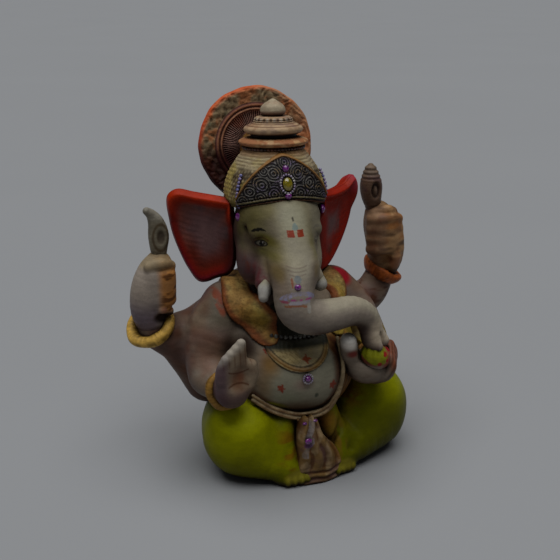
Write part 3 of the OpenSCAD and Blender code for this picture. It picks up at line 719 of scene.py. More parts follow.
def paint_body(p):
    """Sprayed grey cream, browns behind the arms, the pale belly with its marks, and the hem at the back."""
    coat = Coat(p, GREY_CREAM)
    x, y, z = p.T
    coat.stain(MAUVE, 24, 0.55, 3)
    coat.stain((170, 140, 96), 15, 0.35, 7)
    coat.brush(BROWN, 0.6 * smooth(cloud(p, 19, 41), 0.3, 0.8) * smooth(np.abs(x + 4), 28, 40))
    coat.brush(MAUVE, 0.55 * smooth(y, -2, 14) * smooth(cloud(p, 18, 9), 0.3, 0.6))
    coat.brush(BROWN, 0.75 * smooth(62 - z, 0, 22) * smooth(y, -24, -6))
    coat.dab(BELLY, (-5, -50, 62), (31, 28, 25), 0.95, 0.35)
    coat.dab(OCHRE, (-25, -41, 74), (9, 12, 12), 0.8, 0.9)
    coat.dab(OCHRE, (-28, -38, 62), (7, 12, 14), 0.55, 0.9)
    coat.dab((176, 190, 150), (-16, -47, 55), (12, 8, 7), 0.4)
    coat.dab(PINK, (-10, -54, 63), (9, 7, 6), 0.35)
    ring = np.hypot(x + 4, (z - 64) / 0.95)
    side = smooth(-y, 12, 24) * smooth(x, 6, 14) * smooth(90 - z, 0, 8)
    band = side * smooth(ring, 20, 21.6)
    stripes = 0.5 + 0.5 * np.sin(ring * 1.5)
    coat.brush(OCHRE * 1.2, band)
    coat.brush(BROWN, band * 0.75 * stripes)
    coat.brush((150, 140, 40), band * smooth(ring, 34, 40) * 0.7)
    reach, _ = near(p, BELT)
    # painted shade: darker brown on the belly along both sides of the belt
    coat.brush(BROWN, 0.85 * fade(reach, 3, 7.5) * smooth(-y, 18, 26))
    coat.dab(LIME, (-22, -41, 47.5), (13, 8, 4.6), 0.95, 0.5)
    # painted shadow: near-black patch on the chest under the head and trunk
    coat.dab((26, 32, 26), (-4, -36, 91), (18, 18, 10), 0.97, 0.45)
    # painted shade in the crease between the right front arm and the belly
    coat.dab(UMBER, (-33, -27, 80), (8, 12, 13), 0.9, 0.7)
    for centre, size in (((-21.6, -47.7, 60.8), 2.6), ((8.8, -52.1, 59.5), 3.0), ((-27, -38, 81), 2.2)):
        away = np.sqrt(((p - centre) ** 2).sum(1))
        turn = np.arctan2(z - centre[2], x - centre[0])
        coat.brush(RED * 0.5 + RUST * 0.5, (away < size * (0.8 + 0.2 * np.cos(5 * turn))) * 0.9)
    coat.dab((70, 84, 70), (-1.6, -52.5, 55), (1.5, 3, 2.2), 0.8, 0.5)
    # painted shade on the low belly where it curves under above the belt
    coat.dab((118, 92, 68), (-10, -46, 47), (24, 16, 9), 0.85, 0.9)
    # painted shade: a darker copy of the cream on the front of the right shoulder
    coat.dab(CREAM * 0.34, (-44, -10, 96), (13, 16, 15), 0.85, 0.5)
    streak = smooth(cloud(p * (2.2, 1, 0.5), 4, 21), 0.3, 0.5)
    coat.brush((176, 84, 52), streak * 0.85 * oval(x + 43.5, 3.6, z - 104, 8, 0.6))
    coat.dab(MAUVE * 0.7, (-47, 4, 104), (12, 12, 12), 0.7, 0.7)
    # painted shade where the right upper arm meets the chest
    coat.dab(UMBER * 1.4, (-41, -25, 80), (10, 12, 10), 0.92, 0.8)
    coat.dab(BROWN, (-36, -10, 112), (9, 12, 7), 0.8)
    coat.dab(BROWN, (-66, 0, 86), (7, 12, 9), 0.8)
    coat.dab(UMBER, (-72, -1, 86), (5, 12, 6), 0.7)
    coat.dab(BROWN, (-52, -10, 100), (6, 8, 14), 0.55)
    coat.dab((150, 100, 66), (-57, 0, 60), (10, 14, 14), 0.5)
    coat.dab(RUST * 0.8, (26, -12, 101), (11, 12, 9), 0.85, 0.5)
    fringe = (0.5 + 0.5 * np.sin(x * 2.6 + np.sin(z * 0.8))) * oval(x - 26, 10, z - 99, 10, 0.7)
    coat.brush(UMBER, fringe * 0.7 * smooth(-y, 0, 6))
    coat.dab(CRIMSON * 1.5, (34, -9, 109), (14, 13, 9), 0.98, 0.5)
    coat.dab(RED, (27, -12, 111), (7, 10, 6), 0.7, 0.8)
    coat.dab((190, 150, 124), (50, 4, 96), (13, 16, 12), 0.75)
    coat.brush(RUST * 0.9, 0.32 * smooth(cloud(p, 11, 63), 0.3, 0.8) * smooth(np.abs(x), 40, 56))
    brush_marks = smooth(cloud(p * (0.6, 1, 2.2), 6, 31), 0.45, 0.62) * smooth(x, 48, 58)
    coat.brush(BROWN, brush_marks * 0.75)
    coat.dab(UMBER, (76, 6, 96), (9, 12, 7), 0.8)
    coat.dab(CREAM, (46, -20, 74), (9, 12, 12), 0.5)
    # painted shade along the underside of the right forearm, above the knee
    coat.dab(UMBER, (-52, -12, 55), (10, 18, 6), 0.6)
    hem = np.abs(z - 51 - 0.6 * np.sin(x * 0.4))
    coat.brush(OCHRE, fade(hem, 2.6, 3.0) * smooth(y, 4, 8) * 0.9)
    coat.brush(UMBER, stroke(hem - 2.2, 0.2, 0.7) * smooth(y, 4, 8) * 0.8)
    return coat.rgb


def lap_clay(grain):
    """Seat, folded legs and feet in one casting."""
    clay = Clay((-64, -66, -1), (80, 46, 60), grain)
    clay.add(loft(2, [(-2, 2, 8, 43, 33), (12, 2, 8, 46, 36), (30, 1, 7, 44, 34), (42, 0, 4, 34, 28),
                      (50, 0, 2, 28, 24)], 0.8))
    clay.add(limb([(-14, 12, 26, 22), (-29, -8, 25.5, 24), (-35, -25, 25.2, 24.4)]), 6)
    clay.add(limb([(-37, -30, 22, 17), (-24, -39, 14, 13.6), (-8, -44, 8, 8.4)]), 6)
    clay.add(limb([(16, 12, 27, 23), (34, -6, 27.5, 26.5), (47, -21, 27.5, 27.6)]), 6)
    clay.add(limb([(48, -28, 20, 19.5), (30, -39, 14, 13.6), (14, -44, 8, 8.4)]), 6)
    clay.add(limb([(10, -38, 42, 7), (14, -40, 28, 8), (18, -43, 12, 8.5)]), 6)
    clay.add(limb([(-14, -38, 38, 6), (-18, -42, 26, 7.4), (-19, -45, 12, 8)]), 6)
    clay.add(egg((-14, -48, 5), (12, 7.2, 6.6)), 3)
    clay.add(egg((18, -47, 5), (9.5, 7.2, 6.6)), 3)
    for k in range(4):
        clay.add(egg((-20 + 4.1 * k, -54.4 + 0.5 * abs(k - 2), 4.2), (2.2, 2.6, 3.0)), 1.2)
        clay.add(egg((12.5 + 3.7 * k, -53.6 + 0.6 * k, 4.0), (2.1, 2.6, 2.9)), 1.2)
    clay.cut(limb([(-12, -50, 36, 0.8), (-19, -54, 22, 1.0), (-22, -57, 12, 0.8)]), 4)
    clay.cut(limb([(12, -50, 38, 0.8), (19, -54, 24, 1.0), (24, -57, 12, 0.8)]), 4)
    for a, b, depth in (((34, -44, 48), (12, -46, 20), 1.6), ((44, -48, 44), (22, -52, 16), 1.2),
                        ((-22, -50, 40), (-12, -54, 16), 1.1)):
        mid = (np.array(a) + b) / 2 + (0, -1.5, 3)
        clay.cut(limb([(*a, depth * 0.6), (*mid, depth), (*b, depth * 0.6)]), 5)
    clay.flat_foot(0.4)
    return clay


def paint_lap(p):
    """Yellow-green cloth, browner towards the pleats, the floor and the back."""
    coat = Coat(p, LIME)
    x, y, z = p.T
    coat.brush(OLIVE, 0.25 * smooth(cloud(p, 16, 5), 0.42, 0.66))
    # painted highlight: patchy paler yellow on the upper parts of the cloth
    coat.brush((196, 196, 4), 0.6 * smooth(z, 30, 48) * smooth(cloud(p, 20, 8), 0.35, 0.6))
    coat.brush(OLIVE * 0.8, 0.7 * smooth(x, 4, 24) * smooth(56 - z, 4, 30))
    coat.brush(OLIVE * 0.6, 0.85 * smooth(14 - z, 0, 12))
    # painted highlights on the tops of the left and the right knee
    coat.dab((186, 190, 16), (60, -36, 44), (16, 18, 12), 0.9)
    coat.dab((262, 268, 22), (-42, -36, 42), (20, 22, 15), 1.0)
    streaks = smooth(cloud(p * (0.5, 1, 1.6), 5, 14), 0.4, 0.62)
    coat.brush((170, 116, 24), 0.8 * streaks * oval(x + 13, 17, z - 22, 22, 0.35))
    coat.brush(RUST * 0.8, 0.7 * streaks * oval(x - 26, 15, z - 46, 15, 0.3))
    coat.dab((206, 180, 40), (23, -44, 38), (8, 12, 16), 0.7, 0.8)
    coat.dab(AMBER * 0.8, (2, -44, 35), (14, 14, 11), 0.95, 0.5)
    coat.brush(UMBER, 0.8 * smooth(y, 0, 14) * smooth(44 - z, 0, 20) * smooth(cloud(p, 14, 2), 0.3, 0.6))
    coat.brush(BROWN, 0.9 * smooth(2.2 - z, 0, 1.2))
    coat.dab(BROWN, (0, -46, 16), (17, 14, 22), 0.85, 0.6)
    drape = smooth(cloud(p * (2.4, 1, 0.5), 6, 50), 0.4, 0.6)
    coat.brush((176, 130, 50), 0.7 * drape * oval(x - 12, 12, z - 26, 20, 0.4))
    toes = oval(x + 14, 10, z - 5, 7, 0.6) + oval(x - 18, 8, z - 5, 7, 0.6)
    coat.brush((170, 160, 50), toes * smooth(-y, 44, 48))
    return coat.rgb


def pleat_waves(x, z):
    """-1 in the valleys and 1 on the folds, which fan out downwards."""
    fan = (x + 5) / (0.42 + (40 - z) * 0.016)
    return np.sin(fan * 0.62 + 1.3 * np.sin(z * 0.23 + 1))


def pleat_clay(grain):
    """The cloth that hangs between the feet."""
    clay = Clay((-24, -62, -1), (20, -38, 46), grain)
    clay.add(loft(2, [(-2, 0, -49, 17, 7.6), (8, 1, -49, 16.4, 7.6), (18, -0.5, -49.5, 13, 7.8),
                      (26, -3, -49.6, 9.6, 7), (33, -5, -49, 7, 6.2), (41, -6, -47.6, 5, 5.2)]))

    def pleats(x, y, z):
        waves = pleat_waves(x, z) * smooth(z, 5, 12)
        folds = np.sin(z * 1.5 + 0.8 * np.sin(x * 0.4)) * smooth(11 - z, 0, 5)
        return (0.75 * waves + 0.55 * folds) * smooth(-y, 44, 49)

    clay.relief((-24, -62, -1), (20, -38, 46), pleats)
    clay.flat_foot(0.4)
    return clay


def paint_pleats(p):
    x, y, z = p.T
    coat = Coat(p, (176, 138, 84))
    # painted shade in the valleys of the hanging pleats
    coat.brush(BROWN, 0.75 * smooth(-pleat_waves(x, z), 0.2, 0.9) * smooth(z, 5, 12))
    coat.brush(AMBER, 0.35 * smooth(x, 6, 14))
    coat.brush((226, 196, 150), 0.6 * smooth(cloud(p * (1, 1, 0.5), 5, 17), 0.5, 0.65))
    # painted shade in the valleys of the folds at the hem
    coat.brush(BROWN * 0.8, 0.8 * smooth(np.sin(z * 1.5 + 0.8 * np.sin(x * 0.4)) * -1, 0, 0.7)
               * smooth(12 - z, 0, 4))
    coat.stain(MAUVE, 7, 0.5, 4)
    for a in ((-8, 24), (-6.5, 33)):
        ribbon = np.abs(x - a[0] - 1.6 * np.sin((z - a[1]) * 0.35)) < 1.7
        coat.brush((196, 190, 192), ribbon * (np.abs(z - a[1]) < 6.5) * 0.75
                   * (0.5 + 0.5 * smooth(cloud(p * (3, 1, 0.6), 3, 9), 0.35, 0.6)))
    coat.dab(VIOLET, (-8, -56, 25.6), (3.2, 4, 2.2), 0.6, 0.4)
    coat.dab(LIME * 0.9, (-16, -52, 5), (5, 8, 5), 0.8, 0.5)
    coat.brush(UMBER, 0.7 * smooth(2.5 - z, 0, 1.5))
    return coat.rgb


# ---- the head ----

TRUNK = [(-12, -45, 130, 12), (-16, -52, 118, 11.3), (-15, -55, 109, 10.8), (-6, -56, 104, 10),
         (7, -56, 103.5, 9.1), (19, -55, 103.5, 8.3), (28, -54, 98.5, 7.5), (32, -54, 90, 6.9),
         (32.5, -55, 84, 6.0)]


def from_head(x, y, z):
    """A place given from the head's middle plane, as it stands once the head is turned."""
    return tuple(turned((HEAD_X + x, y, z)))


def head_clay(grain):
    """Head, brow, cheeks, eyes and trunk in one casting."""
    clay = Clay((-38, -70, 76), (42, 26, 180), grain)
    look = (0, 0, -10)
    clay.add(egg(from_head(-1.0, -9, 143), (24.2, 27.5, 31), look))
    clay.add(egg(from_head(-9.5, -20, 153), (13.5, 14.5, 13), look), 7)
    clay.add(egg(from_head(7.5, -20, 153), (12.5, 14.5, 13), look), 7)
    snout = [(0, -18, 146, 19), (0, -29, 136, 15.5), (0, -38, 127, 12.6)]
    clay.add(limb([(*from_head(*s[:3]), s[3]) for s in snout]), 8)
    for side in (-1, 1):
        clay.add(egg(from_head(15 * side - 1.5 * (side > 0), -20, 126.5), (11 - 1.5 * (side > 0), 13, 13),
                     look), 7)
        clay.add(egg(from_head(side * 12.6, -28.0, 146.8), (7.5, 4.4, 3.2), (0, 0, side * -26 - 10)), 5)
        clay.cut(egg(from_head(side * 14.6, -36.4, 142.2), (5.6, 3.4, 2.9), (0, side * 6, side * -38 - 10)),
                 2.6)
        clay.add(egg(from_head(side * 13.2, -31.6, 142.1), (4.4, 2.9, 2.2), (0, side * 6, side * -42 - 10)),
                 0.8)
        lid = [(side * 17.0, -28.6, 141.6), (side * 15.6, -33.0, 144.3), (side * 13.2, -36.4, 144.2),
               (side * 11.2, -37.6, 142.6)]
        clay.add(limb([(*from_head(*s), 0.75) for s in lid]), 1.0)
        under = [(side * 17.0, -28.6, 141.4), (side * 15.2, -34.0, 139.7), (side * 12.6, -37.0, 140.2),
                 (side * 11.2, -37.8, 141.6)]
        clay.add(limb([(*from_head(*s), 0.55) for s in under]), 1.0)
        clay.cut(limb([(*from_head(side * 21, -24, 148), 0.8), (*from_head(side * 21, -30, 136), 1.2),
                       (*from_head(side * 16, -36, 128), 0.8)]), 5)
    clay.add(limb(TRUNK), 7)
    clay.add(limb([(-9.6, -29.5, 153, 11.5), (-11.0, -37.6, 142, 12.0), (-12, -45, 130, 12)]), 6)
    clay.add(limb([(*from_head(-12.0, -34, 126), 6.6), (*from_head(-15.4, -39.5, 120.6), 5.2)]), 3.5)
    clay.add(limb([(*from_head(11, -36, 126), 6.0), (*from_head(13.5, -41, 122.5), 4.6)]), 3.5)
    tip = [(31.5, -56.5, 86, 5.6), (33.5, -59, 82, 4.2)]
    clay.add(limb(tip), 2.5)
    clay.add(limb([(36, -54, 86, 5.0), (39, -56, 83, 3.6)]), 2.0)
    clay.cut(limb([(34.6, -60, 89, 0.7), (36.2, -61, 84, 1.2), (37, -61, 79, 1.2)]), 2.0)

    def rings(x, y, z):
        along = x * 0.8 - z * 0.35
        side = smooth(x, 4, 12) * smooth(z, 84, 90)
        return 0.05 * side * np.sin(along * 1.9)

    clay.relief((0, -70, 78), (42, -40, 116), rings)
    return clay


def paint_head(p):
    """Pale ivory brow, yellow round the eyes, pink cheeks, and the marks on the forehead and trunk."""
    coat = Coat(p, IVORY)
    x, y, z = p.T
    h = straight(p)
    hx, hy = h[:, 0] - HEAD_X, h[:, 1]
    coat.stain(PEARL, 14, 0.5, 2)
    coat.brush(PEARL, 0.8 * smooth(140 - z, 0, 14))
    fore = smooth(z, 138, 146)
    coat.brush((150, 138, 66), 0.75 * fore * smooth(np.abs(hx - 1), 9, 21))
    # pale ridge down the brow and trunk, partly its off-white paint and partly a painted highlight
    coat.brush((255, 246, 220), 0.6 * stroke(hx, 4, 11) * smooth(z, 122, 132) * (hy < -28))
    coat.brush((140, 120, 50), 0.7 * smooth(z, 158, 166))
    coat.brush((255, 250, 212), 0.8 * oval(hx - 1, 13, z - 157, 13, 0.2) * (hy < -20))
    coat.brush((140, 112, 88), 0.5 * smooth(np.abs(hx), 3, 9) * smooth(z, 114, 120) * fade(z, 132, 140))
    coat.brush(MAUVE, 0.85 * smooth(-hx, 14, 20) * smooth(142 - z, 0, 12))
    coat.brush(MAUVE * 0.9, 0.8 * smooth(hy, -22, -10))
    coat.brush((196, 160, 150), 0.5 * oval(hx + 20, 6, z - 142, 8, 0.2))
    for side in (-1, 1):
        front = smooth(-hy, 18, 24)
        for colour, weight, across, wide, up, tall, inner in (
                ((150, 138, 24), 0.8, 14.5, 8.0, 144.6, 5.0, 0.3),
                ((156, 146, 60), 0.7, 14.0, 7.0, 138.0, 4.6, 0.2),
                ((150, 70, 50), 0.65, 17.4, 3.0, 141.6, 3.4, 0.2),
                ((168, 140, 60), 0.55, 11.5, 5.0, 130.0, 7.0, 0.2)):
            coat.brush(colour, weight * oval(hx - side * across, wide, z - up, tall, inner) * front)
        along = -((hx * side - 14.2) * 0.55 + (hy + 34.0) * 0.83)
        lean = z - 142.1 - 0.10 * along
        almond = lean ** 2 / 2.6 + (along / 4.4) ** 2
        near_eye = (np.abs(along) < 7) & (hx * side > 8) & (hy < -22)
        coat.brush((220, 212, 186), (almond < 1) * near_eye * 0.9)
        coat.brush(UMBER * 0.7, near_eye * stroke(almond - 1.02, 0.14, 0.55) * 0.95)
        iris = np.hypot(along - 0.2, lean - 0.1)
        coat.brush((120, 112, 92), near_eye * fade(iris, 1.4, 1.7))
        coat.brush(BLACK * 0.6, near_eye * stroke(iris - 1.5, 0.12, 0.4) * 0.9)
        coat.brush(BLACK * 0.4, near_eye * fade(iris, 0.8, 1.1))
        # painted highlight: a glint in each eye
        coat.brush(WHITE * 2, near_eye * fade(np.hypot(along - 0.7, lean - 0.6), 0.25, 0.5) * 0.9)
        crease = np.abs(lean - 3.3 + 0.05 * along ** 2)
        coat.brush(BROWN, near_eye * (np.abs(along) < 5.6) * fade(crease, 0.2, 0.7) * 0.7)
        curve = z - 149.9 + 0.05 * (along - 1) ** 2 + 0.12 * along
        thick = 0.9 * fade(along, -2.0, 5.2) * smooth(along, -6.4, -4.4)
        coat.brush(BLACK * 0.7, near_eye * (np.abs(curve) < thick) * 0.95)
    for dx in (-2.4, 3.1):
        mark = np.maximum(np.abs(hx - dx) / 1.9, np.abs(z - 149.6) / 1.7)
        coat.brush((220, 70, 24), (mark < 1) * (hy < -28) * 0.95)
        coat.brush((240, 150, 110), (np.hypot(hx - dx + 1.0, z - 150.2) < 0.45) * (hy < -28) * 0.8)
    drop = np.hypot((hx - 0.5) / (1.9 - 0.28 * np.clip(z - 151.7, 0, 5)), (z - 152.8) / 1.9)
    coat.brush((200, 222, 212), (drop < 1) * (hy < -28) * 0.95)
    coat.brush(UMBER, within(hx - 0.1, 0.45, z - 156.4, 1.2) * (hy < -28) * 0.8)
    front = smooth(-hy, 44, 50)
    for k, level in enumerate((133.6, 131.7, 129.8)):
        line = np.abs(z - level - 0.035 * (hx + 2) ** 2)
        coat.brush(MAUVE * 0.8, front * fade(line, 0.1, 0.6) * (np.abs(hx + 2) < 5.6 - 0.5 * k) * 0.35)
    coat.brush((170, 184, 190), front * within(hx + 2.3, 1.9, z - 128.0, 2.1) * 0.75)
    coat.brush((196, 96, 50), front * within(hx + 5.4, 0.6, z - 126.4, 2.6) * 0.7)
    speck = smooth(cloud(p, 1.7, 12), 0.42, 0.55)
    arch = np.abs(np.hypot((hx + 2.2) / 8.2, (z - 116.6) / 4.6) - 1)
    coat.brush((190, 186, 222), front * (arch < 0.22) * (z > 117.2) * (0.35 + 0.6 * speck))
    coat.brush((214, 208, 220), front * (np.abs(z - 116.6 - 0.05 * hx) < 0.9) * (np.abs(hx + 2) < 6) * 0.85)
    coat.brush((216, 110, 170), front * (np.abs(z - 117.9) < 0.5) * (np.abs(hx + 1) < 6) * speck)
    coat.brush((206, 70, 120), front * within(hx + 9.8, 2.2, z - 116.6, 0.7) * 0.7)
    coat.brush((200, 110, 50), front * (np.abs(z - 114.9 + 0.02 * (hx + 4) ** 2) < 0.6)
               * (np.abs(hx + 4) < 6) * 0.7)
    coat.brush((222, 216, 204), front * within(hx - 2.8, 1.2, z - 113.2, 3.0) * 0.85)
    bend = spline(TRUNK[2:], 8)
    middle = np.interp(x, bend[:, 0], bend[:, 2])
    # painted shade on the underside of the trunk
    under = smooth(middle - z, 1.5, 8) * smooth(x, -16, -4) * smooth(116 - z, 0, 6)
    coat.brush((96, 70, 58), 0.85 * under)
    coat.brush(UMBER, 0.45 * smooth(x, 10, 18) * smooth(middle - z, 3, 8) * fade(x, 24, 29))
    # painted highlight along the top of the trunk
    coat.brush((216, 206, 178), 0.75 * smooth(z - middle, 1, 7) * smooth(x, -6, 4))
    coat.brush(MAUVE * 0.9, 0.25 * smooth(x, 22, 30) * smooth(104 - z, 0, 12)
               * smooth(cloud(p, 5, 6), 0.3, 0.6))
    coat.brush(BROWN, 0.6 * oval(x - 36.4, 1.6, z - 85, 6, 0.3) * smooth(-y, 52, 57))
    jaw = smooth(-hx, 12, 16) * oval(hx + 19, 7, z - 124, 9, 0.3)
    fur = smooth(cloud(p * (1, 1, 0.4), 2.2, 40), 0.4, 0.6)
    coat.brush((150, 70, 76), jaw * (0.3 + 0.45 * fur))
    coat.brush((170, 84, 50), 0.5 * fur * oval(hx + 22, 4, z - 131, 7, 0.3))
    coat.brush((92, 34, 26), 0.9 * oval(hx + 20.6, 2.2, z - 151.0, 4.4, 0.6) * (hy > -27))
    # painted shade under the head, behind the trunk
    coat.brush(UMBER, 0.85 * smooth(118 - z, 0, 5) * smooth(hy, -34, -22))
    coat.brush((255, 236, 206), 0.8 * smooth(x, 25, 31) * smooth(100 - z, 0, 6) * smooth(z, 80, 86))
    shaded = 0.36 * smooth(z, 134, 142) + 0.35 * smooth(-hx, 13, 19) * smooth(148 - z, 0, 10)
    return coat.rgb * (1 - shaded)[:, None]


# ---- hands, and what they hold ----

def open_hand(grain):
    """The raised right palm, fingers together and thumb apart."""
    clay = Clay((-68, -62, 54), (-32, -34, 102), grain)
    clay.add(limb([(-51, -35, 62, 8.6), (-51, -42, 66, 8.4)]))
    clay.add(egg((-49.6, -46.5, 73.5), (10.6, 5.6, 12.5), (-8, 8, 6)), 4)
    for k in range(4):
        clay.add(limb([(-56 + 3.5 * k, -47.2, 73 + 1.2 * k, 4.0), (-56.4 + 3.4 * k, -48.6, 80 + 1.8 * k, 3.3),
                       (-55.6 + 3.1 * k, -49.6, 84.6 + 2.8 * k, 2.6)]), 2.4)
    clay.add(limb([(-42, -47.5, 68, 4.8), (-40.0, -48.4, 74, 4.2), (-40.2, -49.0, 79, 3.4)]), 3.5)
    clay.add(egg((-50, -45.5, 62.5), (9, 6.2, 8.5), (-6, 0, 0)), 4)
    clay.cut(egg((-48.5, -53.6, 73), (5.5, 3.2, 6)), 4)
    for run in (((-55, -53, 77), (-49, -52.4, 75), (-44, -53, 78)),
                ((-54, -53, 71), (-49, -52, 70), (-45, -53.2, 66))):
        clay.cut(limb([(*place, 0.3) for place in run]), 1.0)
    return clay


def paint_open_hand(p):
    x, y, z = p.T
    coat = Coat(p, (192, 170, 142))
    coat.stain(BROWN, 7, 0.45, 8)
    coat.brush((160, 108, 76), 0.8 * oval(x + 49, 7, z - 72, 10, 0.2))
    coat.brush(RUST, 0.5 * oval(x + 47, 3.2, z - 74, 4.5, 0.2) * smooth(-y, 48, 51))
    coat.brush((120, 92, 110), 0.8 * smooth(-x, 52, 58))
    coat.brush(MAUVE * 0.8, 0.75 * smooth(68 - z, 0, 6))
    coat.brush(UMBER, 0.7 * smooth(y, -44, -38))
    for dz, bow in ((76.4, 0.05), (70.4, -0.04)):
        line = np.abs(z - dz - bow * (x + 49) ** 2)
        coat.brush(BROWN, fade(line, 0.2, 0.8) * smooth(-y, 47, 50) * (np.abs(x + 49) < 6) * 0.75)
    gaps = np.mod(x - 0.08 * (84 - z) + 57.7, 3.3)
    coat.brush(BROWN, 0.6 * fade(np.minimum(gaps, 3.3 - gaps), 0.1, 0.6) * smooth(z, 78, 83)
               * smooth(-y, 46, 49))
    coat.brush((226, 220, 206), 0.6 * smooth(z - 0.72 * (x + 57) - 83, -2, 3))
    return coat.rgb


def giving_hand(grain):
    """The left hand that holds the sweet, palm up with the thumb raised."""
    clay = Clay((8, -70, 50), (60, -30, 94), grain)
    clay.add(limb([(43, -39, 64.5, 8.6), (38, -44, 64.5, 9.4)]))
    clay.add(egg((33, -50, 65.5), (12.5, 11, 10)), 4)
    clay.add(limb([(27, -47, 68, 7), (21, -50.5, 76, 5.6), (18.6, -52, 84.5, 4.7)]), 3)
    for k in range(4):
        clay.add(limb([(36 + 3.0 * k, -53 + 1.2 * k, 58.5 + 1.2 * k, 3.4),
                       (40.5 + 2.6 * k, -58.4 + 2.6 * k, 62 + 1.6 * k, 3.5),
                       (42.5 + 1.7 * k, -60.4 + 2.6 * k, 68.4 + 1.6 * k,
                        3.2), (40.5 + 1.7 * k, -59.6 + 2.2 * k, 74 + 1.4 * k, 2.8)]), 0.9)
    clay.cut(egg((33, -56, 76), (8.4, 8, 6.5)), 3)
    return clay


def paint_giving_hand(p):
    x, y, z = p.T
    coat = Coat(p, (180, 164, 146))
    coat.stain(BROWN, 8, 0.5, 2)
    coat.brush((196, 96, 52), 0.75 * smooth(x, 38, 43) * smooth(z, 62, 70))
    groove = 0.5 + 0.5 * np.sin(x * 1.9 - z * 0.9)
    coat.brush(UMBER, 0.55 * groove * smooth(x, 37, 41))
    coat.brush(BROWN * 0.8, 0.8 * smooth(62 - z, 0, 6))
    coat.dab(WHITE * 2.5, (18.6, -53, 85), (7, 8, 7.5), 0.95, 0.6)
    coat.dab(RED * 0.6, (19.6, -55, 77.5), (5, 7, 3.4), 0.85, 0.7)
    coat.brush(BROWN, 0.7 * smooth(y, -46, -40))
    return coat.rgb


def fist(grain, wrist, crown, bulk, knuckles, thumb):
    """A closed hand standing on its wrist: the mitten, four fingers across it and the thumb over them."""
    low = np.min([np.array(s[:3]) - 18 for s in bulk], 0)
    high = np.max([np.array(s[:3]) + 18 for s in bulk], 0)
    clay = Clay(low, high, grain)
    clay.add(limb(bulk))
    for run in knuckles:
        clay.add(limb(run), 3.6)
    clay.add(limb(thumb), 1.2)
    clay.add(egg(wrist[:3], wrist[3:]), 2.0)
    clay.add(limb(crown), 1.4)
    return clay


def paint_right_fist(p):
    x, y, z = p.T
    coat = Coat(p, (214, 198, 182))
    coat.brush((140, 122, 148), 0.75 * smooth(112 - z, 0, 16) * smooth(-x, 74, 80))
    right = smooth(x, -79, -74) * smooth(z, 98, 102)
    coat.brush((255, 170, 74), 0.88 * right)
    stripe = cloud(p * (0.25, 0.25, 1), 2.0, 33)
    coat.brush(BROWN * 0.7, right * 0.85 * smooth(stripe, 0.48, 0.66))
    coat.brush((220, 160, 100), right * 0.6 * smooth(0.5 - stripe, 0.0, 0.2))
    coat.brush((206, 182, 140), 0.8 * smooth(z, 123, 127))
    # painted shade in the hollow under the thumb
    coat.dab(UMBER * 0.8, (-73, -2, 96.5), (8.5, 9, 5.5), 0.95, 0.5)
    coat.dab((196, 140, 120), (-74.6, -4.4, 102), (2.6, 3, 3), 0.8, 0.5)
    return coat.rgb


def paint_left_fist(p):
    x, y, z = p.T
    coat = Coat(p, (238, 186, 130))
    coat.stain((150, 92, 56), 7, 0.7, 6)
    stripe = cloud(p * (0.25, 0.25, 1), 3.4, 35)
    coat.brush(UMBER * 1.3, 0.7 * smooth(stripe, 0.5, 0.74))
    coat.brush((214, 136, 70), 0.7 * smooth(0.5 - stripe, 0.0, 0.2) * smooth(cloud(p, 5, 3), 0.3, 0.6))
    coat.brush((150, 120, 106), 0.55 * smooth(-x, -76, -70))
    # painted shade: darker towards the bottom of the fist, above the bangle
    coat.brush(UMBER * 0.8, 0.85 * smooth(110 - z, 0, 9))
    coat.dab((226, 158, 116), (80.8, 1, 110), (4.6, 6, 7), 0.9, 0.4)
    return coat.rgb


def goad_clay(grain):
    """The goad's blade: a flat leaf with an eye, bent at its tip."""
    clay = Clay((-88, -2, 112), (-58, 18, 162), grain)
    clay.add(limb([(-72, 8, 116, 3.6), (-72, 8, 128, 3.8), (-72.2, 8, 135, 5.0), (-72, 8, 142, 5.9),
                   (-73, 8, 149, 4.7), (-75.4, 8, 154, 3.2), (-78.4, 8, 156.8, 2.2)]))
    clay.cut(slab((-72, -2.6, 136), (20, 6.4, 40), 0.3), 1.5)
    clay.cut(slab((-72, 18.6, 136), (20, 6.4, 40), 0.3), 1.5)
    clay.cut(egg((-71.8, 2.9, 141.6), (2.3, 2.2, 4.4)), 1.4)
    return clay


def paint_goad(p):
    x, y, z = p.T
    coat = Coat(p, (176, 166, 142))
    coat.brush((110, 92, 78), 0.75 * oval(x + 71.8, 2.8, z - 141.6, 4.8, 0.6) * smooth(8 - y, 0, 2))
    rim = np.abs(np.hypot((x + 72) / 4.4, (z - 141.6) / 7.6) - 1)
    coat.brush((120, 98, 70), 0.8 * fade(rim, 0.05, 0.2))
    coat.brush(BROWN, 0.55 * smooth(128 - z, 0, 8))
    coat.brush((206, 200, 184), 0.7 * smooth(z, 149, 154))
    coat.stain((120, 110, 96), 4, 0.4, 3)
    return coat.rgb


def bud_clay(grain):
    """The lotus bud, with an eye and ridges at its tip."""
    clay = Clay((56, 4, 124), (86, 26, 173), grain)
    clay.add(limb([(74, 14, 128, 3.8), (73, 14, 138, 4.0), (71, 14, 145, 5.2), (69.9, 14, 151, 6.5),
                   (69.5, 14, 156.5, 7.0), (69.1, 14, 162, 5.6), (68.8, 14, 167, 3.6)]))
    clay.cut(egg((69.5, 6.6, 154.6), (3.6, 3.4, 6.0)), 1.0)
    clay.add(egg((69.6, 9.6, 154), (1.5, 2.0, 3.4)), 0.6)

    def ridges(x, y, z):
        return 0.25 * np.sin(z * 2.4) * smooth(z, 158, 162) + 0.15 * np.sin(z * 2.0) * smooth(146 - z, 0, 3)

    clay.relief((56, 4, 126), (86, 26, 173), ridges)
    return clay


